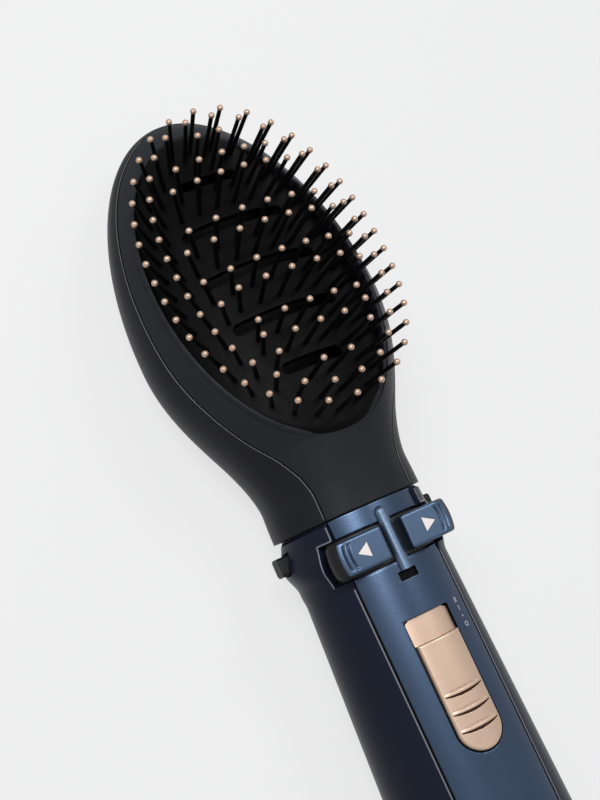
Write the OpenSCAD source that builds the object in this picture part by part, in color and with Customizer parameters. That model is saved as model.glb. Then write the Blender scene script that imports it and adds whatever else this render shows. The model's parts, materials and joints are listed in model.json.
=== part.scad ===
// Rotating hot air brush with a plug-in paddle head.
// The handle's axis runs along Y with the head end at +Y, and the pins point up, along +Z.

/* [Handle] */
// Radius of the handle at its head end
handle_r = 21; // [20:0.5:23]
// Radius of the handle at its widest
grip_r = 25.2; // [24:0.1:27]
// Distance from the head end to where the handle is widest
grip_start = 105; // [95:1:115]
// Length of the widest, straight stretch
grip_len = 30; // [24:1:34]
// Length of the handle's shell
shell_len = 172; // [168:1:180]
// Radius of the shell at its rear end
rear_r = 23; // [22:0.5:24]
// Length of the rear cap
cap_len = 14; // [12:1:18]
// Wall of the handle's shells
shell_wall = 2.2; // [1.8:0.1:2.4]
// Half the width of the front panel
panel_half = 13.9; // [13:0.1:15]
// Length of the shell left behind the front panel
panel_end = 12; // [9:1:25]
// Gap between two fixed pieces
seam_gap = 0.15; // [0.1:0.05:0.25]

/* [Rotation switch] */
// Distance from the head end to the channel
channel_start = 5.6; // [5:0.1:6.5]
// Width of the channel along the handle
channel_w = 12; // [11.5:0.1:13]
// Angle of each end of the channel from the top
channel_deg = 54; // [52:0.5:58]
// Height of the pads' flat tops above the collar
pad_rise = 3.8; // [3.2:0.1:4.2]
// Distance of each pad's outer end from the middle
pad_end = 19.5; // [18.5:0.1:19.9]
// Distance of each pad's inner end from the middle
pad_inner = 3.4; // [3.2:0.1:4]
// Angle by which the switch turns each way
switch_deg = 3; // [2:0.5:3]
// Radius of the half-round bar
bar_r = 1.8; // [1.4:0.1:1.8]
// Height of the side ears above the collar
ear_rise = 2; // [1.5:0.1:2.5]

/* [Release knobs] */
// Width of a knob
knob_w = 5.6; // [5:0.1:6]
// Distance of the knobs from the head end
knob_y = 6.4; // [6:0.1:7]
// Distance of the knobs below the handle's axis
knob_drop = 1.6; // [0:0.1:2]
// How far a knob stands out of its ear
knob_out = 3.2; // [3:0.1:4.5]
// Travel of a knob
knob_travel = 2; // [1.5:0.1:2]

/* [Power slider] */
// Distance from the head end to the slot
slot_start = 33.2; // [32:0.2:34]
// Length of the slot
slot_len = 40.4; // [39:0.2:42]
// Half the width of the slot
slot_half = 7.3; // [6.8:0.1:7.6]
// Travel of the slider from 0 to II
slide_travel = 7.2; // [6:0.2:7.4]
// Height of the slider above the panel
slide_rise = 0.9; // [0.6:0.1:1.2]

/* [Head] */
// Half the width of the head
head_half = 38.2; // [36:0.1:40]
// Distance from the collar to the head's tip
head_tip = 132; // [128:0.5:136]
// Distance from the collar to the head's widest place
belly_y = 64; // [60:0.5:68]
// Wall of the head's shells
head_wall = 2; // [1.6:0.1:2.4]
// Tilt of the head's face away from the handle's axis
face_deg = 13.5; // [12:0.5:15]
// Height of the face above the axis at the recess's middle
face_z = 11.5; // [10.5:0.5:12.5]
// Half the width of the recess
recess_half = 31; // [30:0.1:32]
// Half the length of the recess, measured along the handle
recess_long = 50.5; // [49:0.5:52]
// Distance from the collar to the recess's middle
recess_y = 73.1; // [72:0.1:74]
// Depth of the ledge that the pad stands on
ledge_depth = 9; // [8.5:0.5:10]

/* [Pad and pins] */
// Radius of the pad across the head
dome_r = 46; // [43:1:50]
// Radius of the pad along the head
dome_long_r = 260; // [220:10:320]
// Height of the pad's crown above the face
dome_rise = 3.3; // [2:0.1:4]
// Height of a ball tip's middle above the pad
pin_len = 18; // [15:0.5:20]
// Radius of a pin across its corners
pin_r = 0.75; // [0.6:0.05:0.9]
// Radius of a ball tip
tip_r = 1.1; // [0.95:0.05:1.25]
// Pins in the outer ring
outer_pins = 38; // [34:2:40]
// Pins in the second ring
second_pins = 34; // [30:2:36]
// Distance from the recess's side to the outer ring of pins
ring_side = 6.6; // [6:0.1:8]
// Distance from the recess's end to the outer ring of pins
ring_end = 5.6; // [5:0.1:7]
// Distance between the two rings of pins
ring_gap = 3.8; // [3.6:0.1:4.6]
// Distance between the pins of a row
pin_pitch = 5.6; // [5.2:0.05:5.8]
// Distance between the air slots
louvre_pitch = 16.3; // [15:0.1:17]
// Distance from the middle air slot's ends to the inner ring of pins
louvre_clear = 2.1; // [1.9:0.1:4]
// Width of an air slot
louvre_w = 3.6; // [2.6:0.1:3.8]

/* [Plug-in joint] */
// Outer radius of the head's spigot
spigot_r = 16.7; // [15.5:0.1:17]
// Wall of the spigot
spigot_wall = 1.9; // [1.6:0.1:2.2]
// Length of the spigot inside the handle
spigot_len = 16; // [13:0.5:17]
// Radial clearance of a running fit
run_fit = 0.08; // [0.04:0.01:0.1]

/* [Air and drive] */
// Inner radius of the air duct
duct_r = 14; // [13:0.1:14.2]
// Radius of the drive spindle
spindle_r = 4; // [3:0.1:4.5]
// Radius of the turning motor
turn_motor_r = 9; // [8:0.1:10]
// Radius of the heater windings
winding_r = 10.9; // [10.5:0.1:11.5]
// Radius of the fan
fan_r = 19; // [17:0.1:19.4]
// Blades of the fan
fan_blades = 7; // [5:1:9]
// Radius of the fan motor
fan_motor_r = 11; // [9:0.1:12]
// Radius of the cord's bore in the gland
cord_bore_r = 3.2; // [2.6:0.1:3.6]
// Outer radius of the gland
gland_r = 5; // [4.6:0.1:5.6]

/* [Hidden] */
$fn = 96;

// Colours
c_shell = [0.10, 0.13, 0.19];
c_panel = [0.30, 0.40, 0.54];
c_head = [0.16, 0.17, 0.19];
c_pad = [0.07, 0.08, 0.09];
c_gold = [0.78, 0.66, 0.56];
c_mark = [0.90, 0.86, 0.84];
c_dark = [0.20, 0.20, 0.21];
c_frame = [0.45, 0.42, 0.36];
c_steel = [0.66, 0.67, 0.69];
c_board = [0.12, 0.30, 0.20];

// Places along the handle, counted from the collar
shell_back = -shell_len;
cap_back = shell_back - cap_len;
panel_back = shell_back + panel_end;
taper_deg = atan((grip_r - handle_r) / grip_start);
channel_back = -channel_start - channel_w;
head_gap = 0.3;
clear = 0.3;
over = 1;

// The whole part stands with its lowest place at height 0 and its middle at Y 0
gland_out = 4;
part_back = cap_back - gland_out;
shift_y = -(head_tip + part_back) / 2;
shift_z = grip_r;

function handle_rad(y) = lookup(y, [
    [cap_back, rear_r - 7], [cap_back + 2, rear_r - 3.4], [shell_back - cap_len / 2, rear_r - 0.7],
    [shell_back, rear_r], [-grip_start - grip_len, grip_r], [-grip_start, grip_r], [0, handle_r]]);

handle_breaks = [cap_back, cap_back + 2, shell_back - cap_len / 2, shell_back,
    -grip_start - grip_len, -grip_start, 0];

// Helpers that place things
module placed() {
    translate([0, shift_y, shift_z])
        children();
}

module along_y(y) {
    translate([0, y, 0])
        rotate([-90, 0, 0])
            children();
}

module rod_y(y0, y1, r) {
    along_y(y0)
        cylinder(h = y1 - y0, r = r);
}

module tube_y(y0, y1, ro, ri) {
    difference() {
        rod_y(y0, y1, ro);
        rod_y(y0 - over, y1 + over, ri);
    }
}

module block(x, y, z) {
    translate([x[0], y[0], z[0]])
        cube([x[1] - x[0], y[1] - y[0], z[1] - z[0]]);
}

module yz_prism(points, half) {
    rotate([90, 0, 90])
        linear_extrude(height = 2 * half, center = true)
            polygon(points);
}

module both_sides() {
    children();
    mirror([1, 0, 0])
        children();
}

// Solid of revolution with the handle's outline, grown by off
module handle_solid(off, y0, y1) {
    inside = [for (y = handle_breaks) if (y > y0 && y < y1) y];
    ys = concat([y0], inside, [y1]);
    along_y(0)
        rotate_extrude()
            polygon(concat([[0, y0]], [for (y = ys) [handle_rad(y) + off, y]], [[0, y1]]));
}

// Frame whose Y runs along the handle's top edge and whose Z leaves its surface
module taper_frame() {
    translate([0, 0, handle_r])
        rotate([-taper_deg, 0, 0])
            children();
}

// Part of a ring about the handle's axis between two angles from the top
module ring_sector(y0, y1, ri, ro, a0, a1) {
    rotate([0, a0, 0])
        along_y(0)
            rotate([0, 0, -90])
                rotate_extrude(angle = a1 - a0)
                    translate([ri, y0])
                        square([ro - ri, y1 - y0]);
}

// Handle, fixed pieces
ear_r = handle_r + ear_rise;
ear_front = -0.4;
ear_back = channel_back - 1.4;
ear_deg = 112;
knob_hole = knob_w + 2 * clear;
boss_r = 3;
screw_r = 1.3;
screw_x = 15.5;
boss_len = 12;

spring_r = 0.35;
spring_y = channel_back + 2;
spring_mid = handle_r - shell_wall + 0.4;
spring_deg = 20;

module ear() {
    rotate([0, asin(panel_half / handle_r), 0])
        along_y(0)
            rotate([0, 0, -90])
                rotate_extrude(angle = ear_deg - asin(panel_half / handle_r))
                    polygon([[handle_r - 1, ear_front], [handle_r, ear_front], [ear_r, ear_front - 1.6],
                        [ear_r, ear_back + 1.2], [handle_rad(ear_back), ear_back],
                        [handle_r - 1, ear_back]]);
}

module channel_cut() {
    ring_sector(channel_back, -channel_start, handle_r - shell_wall - 0.6, handle_r + 9,
        -channel_deg, channel_deg);
}

// Frame of the right knob: its X runs outward through the knob's middle
module knob_frame() {
    translate([0, -knob_y, -knob_drop])
        children();
}

module knob_cut(w) {
    knob_frame()
        block([duct_r, 2 * handle_r], [-w / 2, w / 2], [-w / 2, w / 2]);
}

module side_shell() {
    color(c_shell)
        difference() {
            union() {
                handle_solid(0, shell_back, 0);
                both_sides()
                    ear();
            }
            difference() {
                handle_solid(-shell_wall, shell_back - over, over);
                both_sides() {
                    translate([screw_x, 0, 0])
                        rod_y(shell_back, shell_back + boss_len, boss_r);
                    block([screw_x, grip_r], [shell_back, shell_back + boss_len],
                        [-boss_r / 2, boss_r / 2]);
                }
            }
            block([-panel_half, panel_half], [panel_back, over], [0, 2 * grip_r]);
            channel_cut();
            both_sides() {
                ring_sector(spring_y - spring_r - clear, spring_y + spring_r + clear, handle_r - 4,
                    spring_mid + spring_r + clear, channel_deg - 1, channel_deg + spring_deg + 2);
                knob_cut(knob_hole);
                translate([screw_x, 0, 0])
                    rod_y(shell_back - over, shell_back + boss_len - 2, screw_r + run_fit);
            }
        }
}

panel_in = panel_half - seam_gap;
notch_half = 2.9;
notch_w = 2.7;
bar_end = channel_back - 2.9;

module slot_outline(inset) {
    w = slot_half - inset;
    tail = -slot_start - slot_len + slot_half;
    translate([-w, tail])
        square([2 * w, slot_len - slot_half - inset]);
    translate([0, tail])
        circle(r = w);
}

module notch_block(inset, z0, z1) {
    taper_frame()
        block([-notch_half + inset, notch_half - inset],
            [bar_end - notch_w + inset, bar_end - inset], [z0, z1]);
}

module panel_stock(y0, y1) {
    difference() {
        intersection() {
            handle_solid(0, y0, y1);
            block([-panel_in, panel_in], [y0, y1], [0, 2 * grip_r]);
        }
        handle_solid(-shell_wall, y0 - over, y1 + over);
    }
}

module front_panel() {
    color(c_panel)
        difference() {
            panel_stock(panel_back + seam_gap, channel_back);
            taper_frame()
                translate([0, 0, -6])
                    linear_extrude(height = 12)
                        slot_outline(0);
            notch_block(0, -6, 6);
        }
}

module front_collar() {
    color(c_panel)
        panel_stock(-channel_start, 0);
}

module centre_bar() {
    color(c_panel)
        difference() {
            taper_frame()
                union() {
                    rod_y(bar_end, -bar_r - 1.6, bar_r);
                    translate([0, -bar_r - 1.6, 0])
                        sphere(r = bar_r);
                }
            handle_solid(0, bar_end - over, over);
        }
}

module notch_window() {
    color(c_pad)
        notch_block(seam_gap, -1.9, -1.1);
}

// Fixed plate under the slider; its slit lets the slider's stem through
plate_top = -1.1;
plate_t = 0.9;
cyl_r = handle_rad(-slot_start - slot_len / 2);
stem_half = 2;
stem_len = 10;
slider_back = -slot_start - slot_len;
slider_gap = 0.25;
slider_front = -slot_start - slide_travel - slider_gap;
stem_mid = (slider_back + slider_front) / 2;
slit_ease = 0.4;

module curved_layer(z0, z1) {
    translate([0, 0, -cyl_r])
        tube_y(-slot_start - slot_len - over, -slot_start + over, cyl_r + z1, cyl_r + z0);
}

module slot_plate() {
    color(c_gold)
        taper_frame()
            difference() {
                intersection() {
                    translate([0, 0, -6])
                        linear_extrude(height = 12)
                            slot_outline(seam_gap);
                    curved_layer(plate_top - plate_t, plate_top);
                }
                block([-stem_half - slit_ease, stem_half + slit_ease],
                    [stem_mid - stem_len / 2 - slit_ease,
                     stem_mid + stem_len / 2 + slide_travel + slit_ease], [-6, 6]);
            }
}

// Marks beside the slot, from the bottom: 0, a dot, I and II
mark_deg = 28;
mark_step = slide_travel / 3;
mark_t = 0.12;
mark_h = 1.5;
stroke = 0.28;

module mark_at(i) {
    rotate([0, mark_deg, 0])
        taper_frame()
            translate([0, slider_front + i * mark_step - 0.4, 0])
                children();
}

module stroke_bar(x) {
    translate([x - stroke / 2, -mark_h / 2, 0])
        cube([stroke, mark_h, 1]);
}

module dial_marks() {
    color(c_mark)
        intersection() {
            difference() {
                handle_solid(mark_t, -slot_start - slot_len, -slot_start + 8);
                handle_solid(0, -slot_start - slot_len - over, -slot_start + 9);
            }
            union() {
                mark_at(0)
                    translate([0, 0, -over])
                        difference() {
                            cylinder(h = 3, r = mark_h / 2, $fn = 32);
                            translate([0, 0, -over])
                                cylinder(h = 5, r = mark_h / 2 - stroke, $fn = 32);
                        }
                mark_at(1)
                    translate([0, 0, -over])
                        cylinder(h = 3, r = stroke, $fn = 24);
                mark_at(2)
                    translate([0, 0, -over / 2])
                        stroke_bar(0);
                mark_at(3)
                    translate([0, 0, -over / 2]) {
                        stroke_bar(-stroke);
                        stroke_bar(stroke);
                    }
            }
        }
}

// Socket that takes the head's spigot; the switch carrier runs on its outside
socket_in = spigot_r + run_fit;
socket_out = handle_r - shell_wall - 0.2;
socket_back = -spigot_len - 4;
stem_w = 3.6;

module attach_socket() {
    color(c_dark)
        difference() {
            union() {
                tube_y(socket_back, -0.4, socket_out, socket_in);
                tube_y(socket_back, -spigot_len - 0.4, socket_out, duct_r);
            }
            both_sides()
                knob_cut(stem_w + 2 * clear);
        }
}

// Wire bows that push the switch back to its middle
module centring_spring() {
    color(c_steel)
        both_sides()
            rotate([0, channel_deg + 0.4, 0])
                along_y(spring_y)
                    rotate([0, 0, -90])
                        rotate_extrude(angle = spring_deg)
                            translate([spring_mid, 0])
                                circle(r = spring_r, $fn = 24);
}

// Boards and switches under the front panel
board_top = -4.6;
board_t = 1.4;
switch_h = 1.7;
selector_h = 0.9;

module board_block(x, y, z) {
    taper_frame()
        block(x, y, z);
}

board_half = 7.5;
board_front = channel_back - 4.4;
reverser_len = 6;
reverser_half = 4;

module switch_board() {
    color(c_board)
        board_block([-board_half, board_half], [slider_back, board_front],
            [board_top - board_t, board_top]);
}

module selector_switch() {
    color(c_dark)
        board_block([-carriage_half, carriage_half],
            [stem_mid - stem_len / 2 - 3, stem_mid + stem_len / 2 + 3 + slide_travel],
            [board_top, board_top + selector_h]);
}

module reversing_switch() {
    color(c_dark)
        board_block([-reverser_half, reverser_half], [board_front - 2 - reverser_len, board_front - 2],
            [board_top, board_top + switch_h]);
}

// Air path and drive
duct_wall = 1;
gearbox_r = 10;
gearbox_len = 14;
turn_motor_len = 22;
arm_w = 2;
bearing_front = socket_back;
bearing_back = bearing_front - 4;
gearbox_front = bearing_back - 6;
gearbox_back = gearbox_front - gearbox_len;
motor_back = gearbox_back - turn_motor_len;

// Fan and its motor, counted from the shell's rear end; the heater takes the room between
fan_len = 11;
fan_motor_len = 26;
mount_t = 4;
flare_len = 5;
fan_gap = 2;
fan_motor_back = shell_back + boss_len;
shroud_back = fan_motor_back + fan_motor_len;
mount_back = shroud_back - mount_t;
fan_back = shroud_back + fan_gap;
fan_front = fan_back + fan_len;
flare_y = fan_front + fan_gap;
duct_back = flare_y + flare_len;
heater_back = duct_back + 2;
heater_front = motor_back - 4;

module arms(y0, y1, r0, r1, count) {
    for (i = [0 : count - 1])
        rotate([0, i * 360 / count, 0])
            block([-arm_w / 2, arm_w / 2], [y0, y1], [r0, r1]);
}

module air_duct() {
    color(c_frame)
        tube_y(duct_back, socket_back, duct_r + duct_wall, duct_r);
}

module spindle_bearing() {
    color(c_steel)
        difference() {
            union() {
                rod_y(bearing_back, bearing_front, spindle_r + 2);
                intersection() {
                    arms(bearing_back, bearing_front, spindle_r + 1, duct_r + over, 3);
                    rod_y(bearing_back, bearing_front, duct_r - seam_gap / 3);
                }
            }
            rod_y(bearing_back - over, bearing_front + over, spindle_r + run_fit);
        }
}

module gearbox() {
    color(c_steel)
        difference() {
            union() {
                rod_y(gearbox_back, gearbox_front, gearbox_r);
                intersection() {
                    arms(gearbox_back, gearbox_back + 4, gearbox_r - 1, duct_r + over, 3);
                    rod_y(gearbox_back, gearbox_front, duct_r - seam_gap / 3);
                }
            }
            rod_y(gearbox_front - 5, gearbox_front + over, spindle_r + run_fit);
        }
}

module turning_motor() {
    color(c_steel)
        union() {
            rod_y(motor_back + 2, gearbox_back, turn_motor_r);
            rod_y(motor_back, motor_back + 2, turn_motor_r / 2);
        }
}

frame_half = winding_r - 0.9;
tab_len = 3;

module heater_board() {
    block([-frame_half, frame_half], [heater_back, heater_front], [-0.5, 0.5]);
    block([-duct_r + 0.1, duct_r - 0.1], [heater_back, heater_back + tab_len], [-0.5, 0.5]);
    block([-duct_r + 0.1, duct_r - 0.1], [heater_front - tab_len, heater_front], [-0.5, 0.5]);
}

module heater_frame() {
    color(c_frame)
        union() {
            heater_board();
            rotate([0, 90, 0])
                heater_board();
        }
}

wire_r = 0.6;

// The close-wound heating wire, as the sleeve that it fills
module heater_winding() {
    color(c_steel)
        tube_y(heater_back + tab_len + clear, heater_front - tab_len - clear, winding_r + wire_r,
            winding_r - wire_r);
}

module thermal_cutout() {
    color(c_mark)
        block([-3.5, 3.5], [heater_front, heater_front + 2.6], [-3.5, 3.5]);
}

// Shapes of the fan's pieces
shroud_wall = 1;
shaft_r = 1.5;
shaft_seat = 8;
shroud_in = fan_r + 0.8;

module fan_shroud() {
    color(c_dark)
        along_y(0)
            rotate_extrude()
                polygon([[duct_r, duct_back], [duct_r + duct_wall + shroud_wall, duct_back],
                    [shroud_in + shroud_wall, flare_y], [shroud_in + shroud_wall, shroud_back],
                    [shroud_in, shroud_back], [shroud_in, flare_y]]);
}

module motor_mount() {
    mount_r = handle_rad(mount_back) - shell_wall;
    color(c_dark)
        difference() {
            union() {
                rod_y(mount_back, shroud_back, fan_motor_r + 1.5);
                intersection() {
                    arms(mount_back, shroud_back, fan_motor_r, mount_r + over, 5);
                    rod_y(mount_back, shroud_back, mount_r - seam_gap);
                }
            }
            rod_y(mount_back - over, shroud_back + over, fan_motor_r + seam_gap / 3);
        }
}

module fan_motor() {
    color(c_steel)
        difference() {
            rod_y(fan_motor_back, shroud_back, fan_motor_r);
            rod_y(shroud_back - shaft_seat, shroud_back + over, shaft_r + run_fit);
        }
}

power_len = 23;
power_drop = 6;
coil_h = 3;

module power_board() {
    back = shell_back + boss_len / 2 + over;
    inside = handle_rad(back) - shell_wall;
    low = -fan_motor_r - power_drop;
    top = low + board_t;
    half = sqrt(inside * inside - low * low) - clear;
    color(c_board)
        union() {
            block([-half, half], [back, back + power_len], [low, top]);
            block([-0.7 * half, -0.1 * half], [back + 3, back + 0.6 * power_len], [top, top + coil_h]);
            block([0.15 * half, 0.75 * half], [back + 5, back + 0.5 * power_len], [top, top + coil_h]);
        }
}

// Rear end
grille_r = rear_r - 7.4;
seat_r = gland_r + 1.6;
slot_count = 24;

module rear_cap() {
    color(c_shell)
        difference() {
            handle_solid(0, cap_back, shell_back);
            along_y(0)
                rotate_extrude()
                    polygon([[0, cap_back - over], [grille_r + seam_gap, cap_back - over],
                        [grille_r + seam_gap, cap_back + 3], [grille_r + 2, cap_back + 4.5],
                        [rear_r - shell_wall - 0.6, shell_back - cap_len / 2 + 1],
                        [rear_r - shell_wall - 0.6, shell_back + over], [0, shell_back + over]]);
        }
}

module inlet_grille() {
    color(c_dark)
        difference() {
            tube_y(cap_back, cap_back + 2.4, grille_r, seat_r + seam_gap);
            for (i = [0 : slot_count - 1])
                rotate([0, (i + 0.5) * 360 / slot_count, 0])
                    block([-0.6, 0.6], [cap_back - over, cap_back + 4],
                        [seat_r + 1.6, grille_r - 1.4]);
        }
}

module dust_filter() {
    color(c_steel)
        tube_y(cap_back + 2.4, cap_back + 3.2, grille_r, seat_r + seam_gap);
}

module gland_seat() {
    color(c_dark)
        difference() {
            rod_y(cap_back, cap_back + 10, seat_r);
            rod_y(cap_back - over, cap_back + 11, gland_r + run_fit);
        }
}

module case_screws() {
    color(c_steel)
        both_sides()
            translate([screw_x, 0, 0]) {
                rod_y(shell_back - 1.6, shell_back, 2.4);
                rod_y(shell_back, shell_back + boss_len - 3, screw_r);
            }
}

// Rotation switch
carrier_in = socket_out + run_fit;
carrier_out = carrier_in + 1.5;
carrier_deg = channel_deg - switch_deg - 1;
pad_top = handle_r + pad_rise;
pad_front = -channel_start - 0.9;
pad_back = channel_back + 1.3;
pad_mid = (pad_front + pad_back) / 2;
pad_round = 4.6;
pad_skirt = pad_round + 1;
pad_foot = pad_end - pad_round;
pad_bow = 18;
chamfer = 0.7;
groove_d = 0.9;
groove_w = 0.6;
groove_out = pad_bow - 3;
groove_half = 3.5;

module switch_carrier() {
    color(c_dark)
        ring_sector(channel_back + 0.6, -channel_start - 0.6, carrier_in, carrier_out,
            -carrier_deg, carrier_deg);
}

// Outline of the right pad across the handle: a flat top with a rounded, overhanging outer end
module pad_outline() {
    translate([pad_inner, 0])
        square([pad_foot - pad_inner, pad_top - chamfer]);
    translate([pad_inner + chamfer, 0])
        square([pad_foot - pad_inner - chamfer, pad_top]);
    translate([pad_foot, pad_top - pad_skirt])
        square([pad_round, pad_skirt - pad_round]);
    translate([pad_foot, pad_top - pad_round])
        circle(r = pad_round);
}

// Upright cylinder about the middle of the pad's bowed end
module bow(r, z0, z1) {
    translate([pad_end - pad_bow, pad_mid, z0])
        cylinder(h = z1 - z0, r = r);
}

module pad_right() {
    difference() {
        intersection() {
            translate([0, pad_front, 0])
                rotate([90, 0, 0])
                    linear_extrude(height = pad_front - pad_back)
                        pad_outline();
            yz_prism([[pad_back, 0], [pad_back, pad_top - chamfer], [pad_back + chamfer, pad_top],
                [pad_front - chamfer, pad_top], [pad_front, pad_top - chamfer], [pad_front, 0]],
                2 * pad_end);
            bow(pad_bow, 0, 2 * pad_top);
        }
        rod_y(pad_back - over, pad_front + over, carrier_out);
        for (i = [0, 1])
            intersection() {
                difference() {
                    bow(groove_out - 1.6 * i, pad_top - groove_d, pad_top + over);
                    bow(groove_out - 1.6 * i - groove_w, 0, pad_top + 2 * over);
                }
                block([pad_foot - 2 * pad_round, pad_end], [pad_mid - groove_half, pad_mid + groove_half],
                    [0, 2 * pad_top]);
            }
    }
}

module left_pad() {
    color(c_panel)
        mirror([1, 0, 0])
            pad_right();
}

module right_pad() {
    color(c_panel)
        pad_right();
}

// Pale arrow on a pad, its point away from the middle
arrow_half = 2.05;
arrow_len = 3.6;
arrow_start = pad_inner + 5.6;

module arrow_right() {
    translate([arrow_start, pad_mid, pad_top])
        linear_extrude(height = mark_t)
            polygon([[0, -arrow_half], [arrow_len, 0], [0, arrow_half]]);
}

module left_arrow() {
    color(c_mark)
        mirror([1, 0, 0])
            arrow_right();
}

module right_arrow() {
    color(c_mark)
        arrow_right();
}

// Release knobs
knob_face = ear_r + knob_out;
knob_base = ear_r - 1.6;
stem_end = spigot_r + knob_travel + clear;
knob_cut_w = 0.8;

module knob_right() {
    half = knob_w / 2;
    knob_frame()
        union() {
            translate([knob_base, 0, 0])
                rotate([0, 90, 0])
                    linear_extrude(height = knob_face - knob_base)
                        polygon([[-half + knob_cut_w, -half], [half - knob_cut_w, -half],
                            [half, -half + knob_cut_w], [half, half - knob_cut_w],
                            [half - knob_cut_w, half], [-half + knob_cut_w, half],
                            [-half, half - knob_cut_w], [-half, -half + knob_cut_w]]);
            block([stem_end, knob_base], [-stem_w / 2, stem_w / 2], [-stem_w / 2, stem_w / 2]);
        }
}

module knob_spring() {
    half = stem_w / 2 + 0.1;
    knob_frame()
        difference() {
            block([knob_base - 0.6, knob_base], [-half - 0.6, half + 0.6], [-half - 0.6, half + 0.6]);
            block([knob_base - 2, knob_base + 1], [-half, half], [-half, half]);
        }
}

module left_knob() {
    color(c_dark)
        mirror([1, 0, 0])
            knob_right();
}

module right_knob() {
    color(c_dark)
        knob_right();
}

module left_knob_spring() {
    color(c_steel)
        mirror([1, 0, 0])
            knob_spring();
}

module right_knob_spring() {
    color(c_steel)
        knob_spring();
}

// Power slider and the carriage under it
grip_pitch = 5.1;
grip_half = 5.2;
grip_w = 1.6;
carriage_half = 5;
carriage_t = 0.8;
stem_low = plate_top - plate_t - 0.2 - (cyl_r - sqrt(cyl_r * cyl_r - carriage_half * carriage_half));

module power_slider() {
    color(c_gold)
        taper_frame()
            union() {
                intersection() {
                    translate([0, 0, -6])
                        linear_extrude(height = 12)
                            intersection() {
                                slot_outline(slider_gap);
                                translate([-slot_half, slider_back - over])
                                    square([2 * slot_half, slider_front - slider_back + over]);
                            }
                    curved_layer(plate_top + 0.1, slide_rise);
                }
                for (i = [0 : 2])
                    translate([0, slider_back + slot_half + i * grip_pitch, 0])
                        intersection() {
                            translate([0, 0, slide_rise - 0.4])
                                linear_extrude(height = 1)
                                    intersection() {
                                        translate([0, grip_half * 1.6])
                                            circle(r = grip_half * 1.6 + grip_w / 2);
                                        translate([0, -grip_half * 1.6])
                                            circle(r = grip_half * 1.6 + grip_w / 2);
                                    }
                            translate([0, 0, -cyl_r])
                                rod_y(-4, 4, cyl_r + slide_rise + 0.45);
                        }
                block([-stem_half, stem_half], [stem_mid - stem_len / 2, stem_mid + stem_len / 2],
                    [stem_low, plate_top + 0.4]);
            }
}

module slide_carriage() {
    color(c_dark)
        taper_frame()
            block([-carriage_half, carriage_half],
                [stem_mid - stem_len / 2 - 2, stem_mid + stem_len / 2 + 2],
                [stem_low - carriage_t, stem_low]);
}

// Spindle that turns a round brush; the paddle head leaves it free
module drive_spindle() {
    color(c_steel)
        union() {
            rod_y(gearbox_front - 4.6, -4, spindle_r);
            rod_y(-4, -0.8, spindle_r * 0.7);
        }
}

module motor_shaft() {
    color(c_steel)
        rod_y(shroud_back - shaft_seat + 1, fan_front - 1, shaft_r);
}

module fan_impeller() {
    hub = 6;
    color(c_dark)
        difference() {
            union() {
                rod_y(fan_back, fan_front, hub);
                intersection() {
                    for (i = [0 : fan_blades - 1])
                        rotate([0, i * 360 / fan_blades, 0])
                            translate([0, (fan_back + fan_front) / 2, 0])
                                rotate([0, 0, 40])
                                    block([-0.6, 0.6], [-fan_len, fan_len] * 0.64,
                                        [hub - 1, fan_r + 2]);
                    tube_y(fan_back, fan_front, fan_r, hub - 1.5);
                }
            }
            rod_y(fan_back - over, fan_front + over, shaft_r);
        }
}

module cord_gland() {
    color(c_dark)
        difference() {
            union() {
                rod_y(cap_back - gland_out, cap_back + 11, gland_r);
                rod_y(cap_back + 10.2, cap_back + 11.6, gland_r + 1.2);
                rod_y(cap_back - gland_out, cap_back - 0.4, gland_r + 0.8);
            }
            rod_y(cap_back - gland_out - over, cap_back + 12, cord_bore_r);
        }
}

// Head: outline, crown and keel along the handle's axis
neck_r = handle_r + 0.3;
neck_end = 9;
neck_blend = 0.78;
face_slope = tan(face_deg);
recess_front = recess_y - recess_long;
recess_back = recess_y + recess_long;
keel_drop = 4.6;
flat_back = 0.4;

function ease(y) =
    let (u = min(1, max(0, (y - neck_end) / (belly_y - 2 - neck_end))))
        pow(sin(90 * pow(u, neck_blend)), 2);

// Widening of the neck at the collar, which fades out towards the head
neck_flare = 1.6;
flare_end = 28;

function flare(y) = let (u = min(1, max(0, y / flare_end))) neck_flare * (1 - u * u * (3 - 2 * u));

function head_w(y) = y > belly_y
    ? head_half * sqrt(max(0, 1 - pow((y - belly_y) / (head_tip - belly_y), 2)))
    : neck_r + (head_half - neck_r) * ease(y) + flare(y);

function face_at(y) = face_z - face_slope * (y - recess_y);

function recess_x(y) = recess_half * sqrt(max(0, 1 - pow((y - recess_y) / recess_long, 2)));

function belly_z(y) = -0.02 * y - 0.00035 * y * y;

function crown_h(y) =
    y < recess_front
        ? neck_r + (face_at(recess_front) - neck_r) * pow(max(0, y) / recess_front, 2) - belly_z(y)
    : y > recess_back
        ? (face_at(recess_back) - belly_z(recess_back)) * head_w(y) / head_w(recess_back)
    : (face_at(y) - belly_z(y)) / sqrt(1 - pow(recess_x(y) / head_w(y), 2));

function keel_h(y) =
    let (drop = neck_r + keel_drop * pow(sin(90 * min(1, max(0, y) / belly_y)), 2) + belly_z(y))
        y > belly_y ? drop * pow(head_w(y) / head_half, 0.9) : drop;

side_power = 2 / (2 + flat_back);

function signed_pow(v, p) = sign(v) * pow(abs(v), p);

sides = 36;
rings = 28;

function head_ring(y, t) = let (
        w = max(0.2, head_w(y) - t),
        up = max(0.2, crown_h(y) - t),
        low = max(0.2, keel_h(y) - t))
    [for (i = [0 : sides - 1])
        let (a = i * 360 / sides)
            sin(a) >= 0
                ? [w * cos(a), y, belly_z(y) + up * sin(a)]
                : [w * signed_pow(cos(a), side_power), y,
                    belly_z(y) + low * signed_pow(sin(a), side_power)]];

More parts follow.
